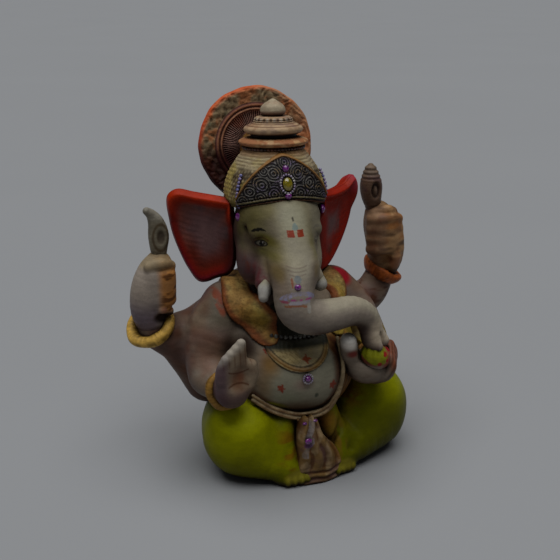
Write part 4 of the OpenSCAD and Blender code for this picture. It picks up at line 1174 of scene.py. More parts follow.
def paint_bud(p):
    x, y, z = p.T
    coat = Coat(p, (150, 118, 96))
    coat.stain(MAUVE * 0.8, 8, 0.7, 5)
    coat.brush(UMBER, 0.85 * oval(x - 69.5, 3.4, z - 154.6, 6.2, 0.6) * smooth(14 - y, 0, 3))
    coat.brush((168, 140, 118), 0.7 * within(x - 69.6, 1.6, z - 154, 3.4) * (y < 11))
    coat.brush((170, 150, 124), 0.6 * smooth(z, 162, 165))
    coat.brush((110, 78, 84), 0.6 * smooth(144 - z, 0, 5))
    return coat.rgb


BANGLE_INSET = 2.6    # from a bangle's outer edge to the middle of its thickness


def bangle(node, hue, flare, thickness, lean, seed):
    """A saucer-like ring set on its CAD ring: its middle, axis and size come from the frame."""
    corners = np.array([v.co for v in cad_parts[node].data.vertices]) / MM
    middle = (corners.min(0) + corners.max(0)) / 2
    spread = corners - corners.mean(0)
    axis = np.linalg.svd(spread.T @ spread)[2][-1]
    axis = axis * (1 if axis[2] > 0 else -1)
    reach = np.linalg.norm(np.cross(corners - middle, axis), axis=1).max()
    axis = axis + np.array(lean)
    axis /= np.linalg.norm(axis)
    side = np.cross(axis, (0, 1, 0.01))
    side /= np.linalg.norm(side)
    front = np.cross(axis, side)
    turns, sides = 160, 28
    a = np.arange(turns) * 2 * math.pi / turns
    b = np.arange(sides) * 2 * math.pi / sides
    around, section = np.meshgrid(a, b)
    wave = 1 + 0.02 * np.sin(3 * around + seed) + 0.012 * np.sin(7 * around)
    thick = thickness + 0.2 * np.sin(5 * around + seed) + 0.22 * np.cos(3 * section)
    core = reach - BANGLE_INSET
    r = core * wave + thick * np.cos(section)
    up = thick * 1.25 * np.sin(section) + flare * (r - core)
    across, deep = r * np.cos(around), r * np.sin(around)
    ring = middle + across[..., None] * side + deep[..., None] * front + up[..., None] * axis
    k = np.arange(sides * turns).reshape(sides, turns)
    right = np.roll(k, -1, 1)
    faces = np.stack([k, right, np.roll(right, -1, 0), np.roll(k, -1, 0)], -1).reshape(-1, 4)
    p = ring.reshape(-1, 3)
    faces = outward(p, faces.tolist())
    coat = Coat(p, hue)
    # painted shade on the lower inner side of the ring
    coat.brush(BROWN, 0.6 * smooth(-np.cos(section - 0.6).ravel(), 0.1, 0.8))
    streak = smooth(mottle(np.stack([around.ravel() * 14, section.ravel(), 0 * section.ravel()], -1), 0.9,
                           seed), 0.35, 0.7)
    coat.brush(UMBER, 0.5 * streak)
    # painted highlight on the upper outer side of the ring
    coat.brush(hue * 1.3, 0.5 * smooth(np.cos(section - 0.9).ravel(), 0.7, 0.95))
    return piece(node, p, faces, finish("painted_gold"), [node], coat.rgb)


# ---- ears and tusks ----

LEFT_EAR = [(-3, 20), (9, 19.4), (22, 21), (31, 25), (34.4, 14), (31.4, 0), (23.4, -14), (12.5, -26),
            (4, -30), (-3, -26)]
RIGHT_EAR = [(-3, 19), (8, 20.4), (20, 22), (30, 23.4), (35.6, 19.6), (36.4, 10), (34.6, -2), (30.4, -14),
             (25, -25), (18.6, -32.4), (9, -30), (-3, -21)]


def ear_surface(side, sweep, shape, rows, columns):
    """Points of an ear from its middle (first row) to its rim: across, up and how far towards the front."""
    outline = spline([(*p, 0) for p in shape + shape[:1]], 24)[:, :2]
    step = np.r_[0, np.cumsum(np.hypot(*np.diff(outline, axis=0).T))]
    even = np.linspace(0, step[-1], columns + 1)[:-1]
    ring = np.array([np.interp(even, step, outline[:, k]) for k in (0, 1)]).T
    s = np.sin(np.linspace(0.02, 1, rows) * math.pi / 2)[:, None]
    centre = np.array([12.0, -2.0])
    across = centre[0] + s * (ring[:, 0] - centre[0])
    up = centre[1] + s * (ring[:, 1] - centre[1])
    angle = np.arctan2(up - centre[1], across - centre[0])
    edge = s + 0 * across
    top = smooth(np.sin(angle), 0.25, 0.75)
    outer = smooth(np.cos(angle), -0.2, 0.5)
    rounded = np.sqrt(np.clip(1 - smooth(edge, 0.90, 1.0) * 0.985, 0, 1))
    thick = (2.8 + 1.3 * (1 - edge ** 2)) * rounded * (1 + 0.3 * top * smooth(edge, 0.3, 0.8))
    cup = -1.2 * (1 - edge ** 2) + (0.8 + 3.4 * top) * smooth(edge, 0.66, 0.88)
    wrinkles = 0.06 * np.sin(up * 1.9 - across * 0.5 + 0.9 * np.sin(across * 0.32))
    wrinkles = wrinkles * smooth(edge, 0.16, 0.3) * fade(edge, 0.72, 0.86) * outer
    front = cup + thick + wrinkles
    back = cup * 0.55 - thick
    cs, sn = math.cos(math.radians(sweep)), math.sin(math.radians(sweep))

    def place(depth):
        x = side * (26 + across * cs + depth * sn)
        y = -1 + across * sn - depth * cs
        return turned(np.stack([HEAD_X + x, y, 142 + up], -1))

    return place(front), place(back), edge, angle, across, up


def outward(points, faces):
    """The faces of a closed shape, turned round if it would be inside out."""
    corners = np.array([face if len(face) == 4 else (*face, face[-1]) for face in faces])
    a, b, c, d = (points[corners[:, k]] for k in range(4))
    volume = (a * (np.cross(b, c) + np.cross(c, d))).sum()
    return faces if volume > 0 else [face[::-1] for face in faces]


def make_ear(name, side, sweep, material):
    """An ear: red rim, darker behind, with fine wrinkles towards its root."""
    shape = LEFT_EAR if side > 0 else RIGHT_EAR
    front, back, edge, angle, across, up = ear_surface(side, sweep, shape, rows=64, columns=300)
    points, faces = tube(np.concatenate([back, front[::-1]]))
    faces = outward(points, faces)
    coat = Coat(points, (150, 108, 108))
    e, t, a, u = (np.r_[v.ravel(), v[::-1].ravel(), v[0, 0], v[0, 0]] for v in (edge, angle, across, up))
    behind = np.r_[np.ones(edge.size), np.zeros(edge.size), 1, 0]
    p = points
    wave = 0.5 + 0.5 * np.sin(u * 1.9 - a * 0.5 + 0.9 * np.sin(a * 0.32) + 1.2 * mottle(p, 6, 3))
    coat.brush((186, 90, 60), 0.6 * smooth(e, 0.25, 0.75) * smooth(cloud(p, 7, 4), 0.25, 0.6))
    coat.brush(UMBER, 0.14 * smooth(wave, 0.4, 1) * smooth(e, 0.15, 0.35) * fade(e, 0.72, 0.86))
    coat.brush((170, 132, 128), 0.35 * fade(e, 0.0, 0.5))
    low = smooth(-np.sin(t), 0.2, 0.85)
    top = smooth(np.sin(t), 0.3, 0.75)
    coat.brush((146, 38, 6), 0.88 * low * smooth(e, 0.3, 0.7))
    coat.brush((176, 36, 20), 0.92 * smooth(e, 0.66, 0.82))
    coat.brush((150, 20, 30), 0.75 * smooth(e, 0.84, 0.95) * (1 - top))
    coat.brush((176, 34, 56), 0.8 * low * smooth(e, 0.80, 0.92))
    coat.brush((224, 54, 0), top * smooth(e, 0.78, 0.9) * 0.95)
    coat.brush((228, 62, 8), 0.65 * top * smooth(e, 0.6, 0.8))
    if side > 0:
        coat.brush((192, 40, 10), 0.95 * smooth(cloud(p * (1, 1, 0.5), 6, 8), 0.2, 0.5)
                   * smooth(e, 0.05, 0.5))
        coat.brush((222, 70, 90), smooth(a, 24, 31) * smooth(u, 12, 20) * 0.9)
        coat.brush(CRIMSON, 0.85 * smooth(e, 0.8, 0.92) * smooth(np.cos(t), 0.1, 0.6) * fade(u, 10, 16))
    coat.brush((150, 44, 24), 0.8 * behind * fade(e, 0.8, 0.95))
    coat.brush(UMBER, 0.7 * smooth(6 - a, 0, 7) * smooth(-u, -8, 8))
    return piece(name, points, faces, material, [name], coat.rgb)


def tusk_clay(grain, side, count):
    """A tusk through the first count of its four stations; side is -1 for the right one."""
    run = np.array([(10.5, -35, 126.5, 4.6), (13.4, -39.0, 122.8, 4.5), (15.8, -43.0, 118.6, 4.0),
                    (17.4, -46.2, 114.6, 2.8)])
    stations = [(*from_head(side * s[0], s[1], s[2]), s[3]) for s in run[:count]]
    clay = Clay((-46, -60, 104), (34, -24, 136), grain)
    clay.add(limb(stations, 6))
    return clay


def paint_tusk(p):
    coat = Coat(p, (226, 224, 216))
    h = straight(p)
    coat.brush((196, 180, 110), 0.7 * smooth(p[:, 2], 119, 125))
    coat.brush((180, 170, 160), 0.4 * smooth(cloud(p, 3, 2), 0.4, 0.7))
    coat.brush(PEARL, 0.4 * smooth(-h[:, 1], 38, 30))
    return coat.rgb


# ---- painted cloth ----

def draped(body, region, thickness, rounding=1.6):
    """A layer of the given thickness that lies on the body wherever the region covers it."""
    cloth = Clay(body.low, body.low + (body.count - 1) * body.grain, body.grain)
    window, reach = cloth.measure(region)
    over = body.field[window] - thickness
    cloth.field[window] = -softmin(-over, -reach, rounding)
    cloth.field = np.maximum(cloth.field, -(body.field + 1.2))
    return cloth


def shawl(body, path, thickness, seed):
    """A woven shawl laid over the body along a path, and the line down its middle."""
    cloth = draped(body, limb(path, 4), thickness)
    line = [station[:3] for station in path]

    def weave(x, y, z):
        net = np.sin((x + z) * 1.9 + seed) * np.sin((z - x + y) * 1.7)
        return 0.16 * net

    cloth.relief(cloth.low, cloth.low + (cloth.count - 1) * cloth.grain, weave)
    return cloth, line


def paint_shawl(p, line, half):
    coat = Coat(p, (232, 182, 104))
    coat.stain((246, 216, 130), 7, 0.8, 3)
    coat.stain(RUST, 9, 0.45, 11)
    net = np.abs(np.sin((p[:, 0] + p[:, 2]) * 1.9 + 1)) * np.abs(np.sin((p[:, 2] - p[:, 0] + p[:, 1]) * 1.7))
    coat.brush(BROWN, 0.6 * fade(net, 0.0, 0.16) * smooth(cloud(p, 5, 7), 0.45, 0.62))
    reach, where = near(p, line)
    coat.brush(RUST, 0.85 * smooth(reach, half - 4.5, half - 2))
    coat.brush(UMBER, 0.7 * smooth(reach, half - 1.5, half + 0.5))
    coat.brush((150, 70, 34), 0.6 * fade(where, 0.1, 0.5))
    coat.brush((240, 210, 70), 0.7 * smooth(where, 0.55, 0.9) * fade(reach, half - 6, half - 3))
    coat.stain(UMBER, 1.8, 0.35, 19)
    return coat.rgb


def paint_belt(p):
    reach, where = near(p, BELT)
    coat = Coat(p, (236, 208, 160))
    roll = np.sin((p[:, 2] - np.interp(p[:, 0], [b[0] for b in BELT[:-1]], [b[2] for b in BELT[:-1]])) * 2.2)
    coat.brush((176, 128, 70), 0.7 * smooth(roll, 0, 0.8))
    coat.brush(BROWN, 0.7 * smooth(np.abs(roll) * -1, -0.2, -0.02))
    coat.stain(BROWN, 5, 0.5, 3)
    coat.brush((214, 196, 156), 0.5 * smooth(where, 0.5, 0.8))
    return coat.rgb


def belt_clay(grain):
    """Two rolls of cloth twisted round the belly."""
    clay = Clay((-42, -56, 32), (42, -16, 96), grain)
    clay.add(limb([(x, y, z + 1.2, 1.2 + 0.1 * math.sin(3 * k)) for k, (x, y, z) in enumerate(BELT)], 6))
    clay.add(limb([(x * 1.02, y - 0.2, z - 1.3, 1.1) for x, y, z in BELT], 6), 0.5)
    return clay


def breastplate(body):
    """The gold collar plate: a thin layer over the chest with a raised double border."""
    disc = egg((-8.5, -46, 92), (22, 26, 22.8))
    plate = draped(body, disc, 1.4, 0.8)
    inner = draped(body, egg((-8.5, -46, 94), (20, 26, 21.8)), 0.9, 0.8)
    border = np.maximum(plate.field, -inner.field)
    plate.field = softmin(plate.field + 0.7, border, 0.4)
    return plate


def paint_breastplate(p):
    x, y, z = p.T
    coat = Coat(p, (255, 228, 160))
    ring = np.hypot((x + 8.5) / 22, (z - 92) / 22.8)
    hatch = np.minimum(np.abs(np.sin((x + z) * 2.0)), np.abs(np.sin((x - z) * 2.0)))
    coat.brush(BROWN, 0.45 * fade(hatch, 0.0, 0.35) * (ring < 0.84))
    coat.stain((206, 196, 170), 7, 0.5, 4)
    for r in (0.84, 0.92, 0.985):
        coat.brush(UMBER, 0.85 * stroke(ring - r, 0.008, 0.028))
    coat.brush(AMBER, 0.5 * (ring > 0.86) * (ring < 0.95))
    away = np.hypot(x + 6.2, z - 76.5)
    turn = np.arctan2(z - 76.5, x + 6.2)
    coat.brush((196, 78, 34), (away < 2.5 * (0.75 + 0.25 * np.cos(4 * turn))) * 0.9)
    # painted shadow: near-black on the upper plate under the head and trunk
    coat.brush((40, 48, 40), 0.95 * smooth(z, 79.5, 82.5))
    coat.brush(UMBER, 0.6 * smooth(-x, 24, 30))
    return coat.rgb


# ---- crown and halo ----

CROWN_R = 29           # the dome's widest radius
TIER_FOOT = 39         # height of the tier's underside in the crown
FINIAL_FOOT = 48.4     # height of the finial's underside in the crown
PLATE_HALF = 27        # half width of the front plate
DOME = [(0.95, 0), (1.0, 4), (0.98, 10), (0.91, 16), (0.80, 22), (0.68, 27), (0.56, 31), (0.52, 32)]


def dome_radius(height):
    """Radius of the crown's dome at a height."""
    rows = spline([(h, r * CROWN_R, 0) for r, h in DOME], 6)
    return np.interp(height, rows[:, 0], rows[:, 1])


def scales(around, height, radius):
    """Netted scales on the lower dome, fine combed rings above."""
    row = height / 2.3 + 0.12 * np.sin(around * 9)
    shift = np.floor(row) % 2 * 0.5
    v = np.mod(row, 1) - 0.45
    u = np.mod(around * 66 / (2 * math.pi) + shift, 1) - 0.5
    scale = 0.7 * fade(np.hypot(u, v), 0.16, 0.48) - 0.18
    worn = 0.5 + 0.5 * np.sin(around * 4 + height * 0.35) * np.sin(height * 0.55 + around * 7)
    scale = scale * (0.3 + 0.7 * worn)
    comb = 0.26 * np.sin(height * 3.6 + 0.9 * np.sin(around * 5))
    upper = smooth(height, 19, 24)
    return (scale * (1 - upper) + comb * upper) * smooth(height, 0.5, 2) * fade(height, 30, 32)


def paint_dome(p, around, height, lift):
    coat = Coat(p, (255, 234, 186))
    coat.stain((196, 172, 80), 8, 0.5, 4)
    coat.stain((196, 170, 150), 9, 0.5, 14)
    lower = 1 - smooth(height, 17, 25)
    coat.brush((104, 84, 64), lower * 0.8 * smooth(-lift, -0.2, 0.08) * smooth(cloud(p, 6, 5), 0.15, 0.5))
    coat.brush((110, 88, 66), lower * 0.6 * smooth(cloud(p, 5, 15), 0.42, 0.6))
    coat.brush(UMBER, lower * 0.7 * smooth(cloud(p, 7, 77), 0.54, 0.68))
    coat.brush((255, 226, 120), 0.6 * smooth(cloud(p, 11, 57), 0.44, 0.62))
    coat.brush(BROWN, (1 - lower) * 0.6 * smooth(-lift, 0.05, 0.22) * smooth(cloud(p, 5, 9), 0.3, 0.55))
    coat.brush((255, 196, 140), 0.8 * smooth(height, 26, 30))
    coat.brush((206, 120, 76), 0.7 * smooth(height, 31.5, 33) * smooth(cloud(p, 4, 2), 0.35, 0.55))
    coat.brush((26, 26, 38), 0.95 * smooth(height, 36.4, 37.2))
    coat.brush(UMBER, 0.7 * smooth(3 - height, 0, 2.5))
    return coat.rgb


def make_dome(material):
    """The crown's round part with its neck ring."""
    foot = [(20, -1.0), (27.2, -0.6)]
    neck = [(16.2, 31.9), (18.2, 32.6), (19.8, 33.8), (19.6, 35.0), (17.2, 36.2), (13.6, 37.0), (12.9, 38.2),
            (13.0, 39.4)]
    profile = foot + [(r * CROWN_R, h) for r, h in DOME[:-1]] + neck
    points, faces, (around, height, lift) = turned_shape(profile, on_crown, turns=600, steps=9, relief=scales)
    colour = paint_dome(points, around, height, lift)
    return piece("crown_dome", points, faces, material, ["crown_dome"], colour)


def plate_height(x):
    """Lower and upper edge of the crown's front plate at x."""
    upper = np.interp(np.abs(x), [0, 1.5, 3, 6, 10, 14, 18, 22, 25, 27],
                      [29.9, 29.7, 29.2, 27.9, 25.6, 22.8, 19.2, 14.4, 9.2, 4.2])
    lower = 5.6 * np.cos(np.clip(np.abs(x) / PLATE_HALF, 0, 1) * math.pi / 2) ** 0.8 - 1.2
    return lower, upper


def make_plate(material):
    """The dark front plate, with whorls, a gold rim and a grooved lower border."""
    columns, rows = 284, 172
    t = np.linspace(-1, 1, columns)[None, :]
    v = np.linspace(0, 1, rows)[:, None]
    x = PLATE_HALF * t + 0 * v
    low, high = plate_height(x)
    z = low + (high - low) * v
    base = dome_radius(np.clip(z, 0, 32))
    to_side = (1 - np.abs(t)) * PLATE_HALF + 0 * v
    border = np.minimum(np.minimum((high - z), (z - low)), to_side)
    turn = np.arctan2(z - 14, x)
    grid = np.stack([x, 0 * x, z], -1).reshape(-1, 3)
    warp = 5 * cloud(grid, 4.5, 61).reshape(x.shape)
    whorls = [(0, 14, 1.0), (7.5, 8.6, 1.0), (7.0, 19.5, 1.0), (13.5, 13.5, 1.0), (15.0, 6.6, 0.9),
              (20.0, 9.6, 0.9), (23.2, 4.6, 0.8), (0, 25.0, 0.9), (12.0, 20.6, 0.8), (3.0, 6.2, 0.8)]
    away = np.min([np.hypot(np.abs(x) - a, z - b) / c for a, b, c in whorls], 0)
    curl = np.sin(away * 4.1 + 1.3 * warp) * (0.75 + 0.25 * np.sin(turn * 40 + warp))
    curl = curl + 0.35 * np.sin(7 * x + warp) * np.sin(7 * z - warp)
    relief = 0.3 * np.clip(curl, -1, 1.2) * smooth(border, 1.6, 3)
    upper_rim = smooth(v, 0.0, 0.3) * stroke(high - z - 0.9, 0.5, 1.1)
    lower_rim = 0.5 * np.sin((z - low) * 3.1) * fade(z - low, 3.4, 4.6)
    lift = 2.0 + relief + 0.8 * upper_rim + lower_rim
    lift = lift * smooth(border, -0.2, 0.9) - 0.6 * fade(border, 0, 0.6)
    r = base + lift
    angle = np.arcsin(np.clip(x / (base + 2.2), -1, 1))
    front = on_crown(np.stack([r * np.sin(angle), -r * np.cos(angle), z], -1))
    back_r = base - 0.8
    back = on_crown(np.stack([back_r * np.sin(angle), -back_r * np.cos(angle), z], -1))
    points, faces = shell(front, back)
    flat = [np.r_[q.ravel(), q.ravel()] for q in (curl, high - z, z - low)]
    curl, below, above = flat
    coat = Coat(points, (40, 37, 40))
    coat.brush((186, 180, 170), 0.8 * smooth(curl, 0.1, 1.0))
    coat.brush((178, 140, 70), 0.8 * smooth(curl, 0.3, 1.0) * smooth(cloud(points, 4, 5), 0.5, 0.62))
    coat.brush((150, 130, 196), 0.7 * smooth(curl, 0.2, 1.0) * smooth(cloud(points, 3.5, 25), 0.56, 0.64))
    gap = smooth(cloud(points, 5, 35), 0.52, 0.66)
    coat.brush((34, 30, 34), 0.45 * gap)
    coat.brush((206, 150, 86), 0.95 * fade(below, 1.6, 2.3) * smooth(above, 4, 7))
    coat.brush(UMBER, 0.7 * stroke(below - 2.4, 0.2, 0.6) * smooth(above, 4, 7))
    lines = 0.5 + 0.5 * np.sin(above * 3.1)
    lower = 1 - smooth(above, 3.6, 4.6)
    coat.brush((150, 138, 96), lower * 0.9 * smooth(lines, 0.3, 0.9))
    coat.brush((30, 30, 28), lower * 0.85 * smooth(1 - lines, 0.55, 0.9))
    coat.brush((120, 60, 40), 0.9 * fade(above, 0.6, 1.4))
    return piece("crown_front_plate", points, faces, material, ["crown_front_plate"], coat.rgb)


def make_tier(material):
    """The hat-like tier with its collar of leaves."""
    profile = [(9, -0.7), (13.4, -0.5), (15.2, 0.0), (16.5, 1.0), (16.9, 2.2), (16.4, 3.4), (15.0, 4.3),
               (13.4, 5.1), (12.0, 5.8), (11.2, 6.4), (11.3, 6.9), (10.5, 7.3), (10.4, 8.2), (9.6, 9.0),
               (7.6, 9.4), (4, 9.5)]

    def leaves(around, height, radius):
        tooth = 0.5 + 0.5 * np.sin(around * 17)
        return (0.45 * tooth * smooth(height, 6.7, 7.3) * fade(height, 8.2, 8.8)
                + 0.12 * np.sin(height * 5) * smooth(height, 3.8, 4.4) + 0.15 * np.sin(around * 3 + 1))

    place = lambda q: on_crown(q + (0, 0, TIER_FOOT))
    points, faces, (around, height, lift) = turned_shape(profile, place, turns=288, relief=leaves)
    coat = Coat(points, (250, 212, 168))
    coat.stain((206, 150, 110), 6, 0.6, 3)
    coat.brush(UMBER, 0.8 * smooth(1.2 - height, 0, 1.2))
    for level in (4.4, 5.6, 6.7):
        coat.brush(BROWN, 0.65 * stroke(height - level, 0.1, 0.35))
    tooth = 0.5 + 0.5 * np.sin(around * 17)
    leaf = smooth(height, 6.8, 7.2) * fade(height, 8.4, 8.9)
    coat.brush(UMBER, 0.75 * leaf * smooth(0.45 - tooth, 0, 0.3))
    coat.brush((230, 222, 206), 0.7 * leaf * smooth(tooth, 0.6, 0.9))
    coat.brush(MAUVE, 0.4 * smooth(cloud(points, 5, 8), 0.5, 0.65))
    return piece("crown_tier", points, faces, material, ["crown_tier"], coat.rgb)


def make_finial(material):
    """The drop-shaped knob on top."""
    profile = [(2.5, -0.4), (4.6, 0), (6.3, 0.8), (7.15, 2.4), (7.1, 3.9), (6.3, 5.6), (4.8, 7.0), (3.2, 8.0),
               (1.9, 8.9), (0.9, 9.5), (0.2, 9.7)]
    place = lambda q: on_crown(q + (0, 0, FINIAL_FOOT))
    points, faces, (around, height, lift) = turned_shape(
        profile, place, turns=160, relief=lambda a, h, r: 0.12 * np.sin(3 * a) * smooth(r, 1, 4))
    coat = Coat(points, (238, 218, 184))
    coat.brush((170, 112, 92), 0.8 * smooth(3.6 - height, 0, 2.2))
    coat.brush(UMBER, 0.8 * smooth(1.0 - height, 0, 0.9))
    coat.stain((196, 150, 120), 4, 0.4, 6)
    return piece("crown_finial", points, faces, material, ["crown_finial"], coat.rgb)


def make_halo(material):
    """A dished disc: carved scroll border, double ring and fine flutes round the middle."""
    columns = 720
    radii = np.r_[np.linspace(0.5, 9, 12), np.linspace(9.4, 34.6, 86), [34.9, 35.0, 35.0]]
    a = np.linspace(0, 2 * math.pi, columns + 1)[None, :-1]
    r = radii[:, None] + 0 * a
    a = a + 0 * r
    border = smooth(r, 24.8, 25.6) * fade(r, 33.0, 34.4)
    p2 = np.stack([r * np.cos(a), r * np.sin(a), 0 * r], -1).reshape(-1, 3)
    warp = 9 * cloud(p2, 7.0, 14).reshape(r.shape)
    scroll = np.sin(r * 0.9 + warp) * np.sin(a * 26 + 1.3 * warp)
    rough = cloud(p2, 3.0, 4).reshape(r.shape) - 0.5
    flutes = np.sin(a * 92)
    zone = smooth(r, 9.5, 11) * fade(r, 19.6, 20.4)
    height = np.interp(r, [0, 10, 19.5, 20.6, 21.4, 22.4, 23.4, 24.6, 25.6, 32.5, 34, 35],
                       [0.9, 0.8, 1.0, 2.7, 3.1, 2.0, 3.2, 2.9, 2.3, 3.6, 3.2, 0.6])
    height = height + 0.42 * flutes * zone + border * (0.45 * scroll + 1.1 * rough)
    wobble = 1 - (0.006 + 0.006 * np.sin(a * 7 + 1) + 0.003 * np.sin(a * 19 + 2)) * smooth(r, 28, 35)
    front = np.stack([r * wobble * np.cos(a), r * wobble * np.sin(a), height], -1)
    back_r = radii[::-3][:, None] + 0 * a[:1]
    ba = a[:1] + 0 * back_r
    dish = np.interp(back_r, [0, 20, 31, 34.5, 35],
                     [-2.6, -2.9, -2.7, -1.2, 0.0]) + 0.25 * np.sin(back_r * 1.1)
    bw = wobble[-1:] + 0 * back_r
    bw = 1 + (bw - 1) * smooth(back_r, 30, 35)
    back = np.stack([back_r * bw * np.cos(ba), back_r * bw * np.sin(ba), dish], -1)
    rows = np.concatenate([front, back])[::-1]
    points, faces = tube(on_halo(rows))
    flat = lambda f, b: np.r_[np.concatenate([f, b])[::-1].ravel(), 0, 0]
    rr, aa = flat(r, back_r), flat(a, ba)
    sc, ro, fl = flat(scroll, 0 * back_r), flat(rough, 0 * back_r), flat(flutes, 0 * back_r)
    behind = flat(0 * r, 0 * back_r + 1)
    coat = Coat(points, (160, 104, 90))
    inner = 1 - smooth(rr, 19.8, 20.6)
    coat.brush((206, 164, 150), 0.9 * inner * smooth(fl, -0.3, 0.6))
    coat.brush((84, 38, 40), 0.75 * inner * smooth(-fl, 0.1, 0.9) * smooth(rr, 10, 12))
    coat.brush((196, 96, 56), 0.5 * inner * smooth(cloud(points, 12, 6), 0.45, 0.65))
    edge = smooth(rr, 24.8, 25.6)
    coat.brush((166, 144, 110), edge)
    coat.brush((206, 116, 62), 0.6 * edge * smooth(cloud(points, 8, 3), 0.46, 0.62))
    coat.brush((150, 150, 120), 0.6 * edge * smooth(cloud(points, 6, 23), 0.5, 0.64))
    coat.brush(UMBER, 0.5 * edge * smooth(-(sc + 2 * ro), 0.1, 0.9))
    for level in (20.5, 22.3, 24.9):
        coat.brush(UMBER, 0.75 * stroke(rr - level, 0.15, 0.6))
    coat.brush((206, 150, 110), 0.7 * stroke(rr - 21.4, 0.2, 0.7))
    coat.brush((200, 140, 96), 0.6 * stroke(rr - 23.5, 0.2, 0.8))
    top_left = np.exp(-((np.mod(aa - 2.2 + math.pi, 2 * math.pi) - math.pi) / 1.1) ** 2)
    left = np.exp(-((np.mod(aa - 3.2 + math.pi, 2 * math.pi) - math.pi) / 0.6) ** 2)
    coat.brush((226, 92, 36), np.clip(top_left * 1.2, 0, 1) * smooth(rr, 31.5, 34.4) * 0.75)
    coat.brush((196, 62, 34), np.clip(left * 1.2, 0, 1) * smooth(rr, 33, 34.6) * 0.7)
    coat.brush((214, 130, 84), 0.5 * smooth(np.cos(aa), 0.3, 0.9) * smooth(rr, 24, 30))
    # painted shade on the lower middle of the halo, behind the head
    coat.brush((60, 6, 20), 0.9 * smooth(-np.sin(aa + 0.5), 0.3, 0.8) * smooth(rr, 6, 18))
    coat.brush((120, 60, 44), 0.8 * behind)
    # painted light: the upper half of the halo's front made up to twice as bright
    tone = 1 + 0.95 * (1 - behind) * fade(-np.sin(aa + 0.4), 0.1, 0.8)
    return piece("halo", points, faces, material, ["halo"], coat.rgb * tone[:, None])


# ---- settings and operators ----

class IdolPaint(bpy.types.PropertyGroup):
    """How the idol is modelled and painted."""
    grain: FloatProperty(name="Clay grain", description="Size of the smallest detail in the castings",
                         default=0.78 * MM, min=0.3 * MM, max=2 * MM, unit="LENGTH", precision=5)
    fine_grain: FloatProperty(name="Fine grain", description="Size of the smallest detail in head and hands",
                              default=0.505 * MM, min=0.3 * MM, max=2 * MM, unit="LENGTH", precision=5)
    # The wash colour and strength also set the painted shade that darkens crevices and gaps between pieces.
    wash: FloatVectorProperty(name="Antique wash", description="Dark colour rubbed into the crevices",
                              subtype="COLOR", size=3, default=tuple(UMBER), min=0, max=1)
    wash_and_shade_depth: FloatProperty(name="Wash strength", description="How dark the crevices are", default=0.85,
                              min=0, max=1, subtype="FACTOR")
    shawl_thickness: FloatProperty(name="Shawl thickness",
                                   description="How far the shawl stands off the body",
                                   default=2.4 * MM, min=0.5 * MM, max=6 * MM, unit="LENGTH", precision=5)


class IdolBeads(bpy.types.PropertyGroup):
    """Sizes of the glued beads, and the seed for their small differences."""
    string_bead: FloatProperty(name="String bead", description="Diameter of a bead at the temples",
                               default=2.3 * MM, min=0.5 * MM, max=6 * MM, unit="LENGTH", precision=5)
    ring_bead: FloatProperty(name="Ring bead", description="Diameter of a bead round the crown's neck",
                             default=2.1 * MM, min=0.5 * MM, max=6 * MM, unit="LENGTH", precision=5)
    necklace_bead: FloatProperty(name="Necklace bead", description="Diameter of a bead of the necklace",
                                 default=2.6 * MM, min=1 * MM, max=8 * MM, unit="LENGTH", precision=5)
    seed: IntProperty(name="Seed", description="Chooses the small differences between beads", default=5,
                      min=0)


class IdolStage(bpy.types.PropertyGroup):
    """Floor, light and camera."""
    floor: FloatVectorProperty(name="Floor", description="Colour of the floor", subtype="COLOR", size=3,
                               default=(0.296, 0.305, 0.318), min=0, max=1)
    sky: FloatProperty(name="Sky light", description="Strength of the even light", default=0.05, min=0, max=5)
    lamp: FloatProperty(name="Soft lamp", description="Strength of the broad lamp overhead", default=2.5,
                        min=0, max=20)
    turn: FloatProperty(name="Camera turn", description="Direction that the camera looks from",
                        default=math.radians(-25), subtype="ANGLE")
    rise: FloatProperty(name="Camera rise", description="Height angle of the camera",
                        default=math.radians(18),
                        subtype="ANGLE")
    distance: FloatProperty(name="Camera distance", description="From the camera to the middle of the idol",
                            default=0.56, min=0.1, max=5, unit="LENGTH")


def finish(kind):
    """The painted finishes, each made once."""
    name = kind + "_finish"
    made = bpy.data.materials.get(name)
    if made:
        return made
    paint = bpy.context.scene.idol_paint
    wash = tuple(paint.wash)
    recipes = {
        "painted_skin": dict(roughness=0.48, speckle=0.13, bump=0.16, reach=8),
        "painted_dhoti": dict(roughness=0.42, speckle=0.12, bump=0.22, reach=8, streak=(1, 1, 2),
                              specular=0.06),
        "painted_brocade": dict(roughness=0.6, speckle=0.3, bump=0.45, reach=5),
        "painted_ears": dict(roughness=0.5, speckle=0.18, bump=0.25, reach=8, streak=(1, 1, 0.6)),
        "painted_crown": dict(roughness=0.55, speckle=0.22, bump=0.3, reach=3.5),
        "painted_plate": dict(roughness=0.4, speckle=0.2, bump=0.3, reach=2.0),
        "painted_halo": dict(roughness=0.6, speckle=0.26, bump=0.35, reach=4),
        "painted_gold": dict(roughness=0.45, speckle=0.24, bump=0.25, reach=5),
        "painted_tusk": dict(roughness=0.35, speckle=0.06, bump=0.1, reach=4, depth=0.6),
        "painted_sweet": dict(roughness=0.5, speckle=0.2, bump=0.3, reach=4, depth=0.6),
    }
    recipe = {"depth": paint.wash_and_shade_depth, **recipes[kind]}
    return hand_painted(name, wash=wash, **recipe)


def sculpture(name, clay, paint, kind, nodes=None):
    """A piece sculpted and painted; it stands for the nodes given, or for its namesake."""
    points, faces = clay.skin()
    # the colours get painted shade on whatever faces down
    return piece(name, points, faces, finish(kind), nodes or [name],
                 painted_underside_shade(points, faces, paint(points)))


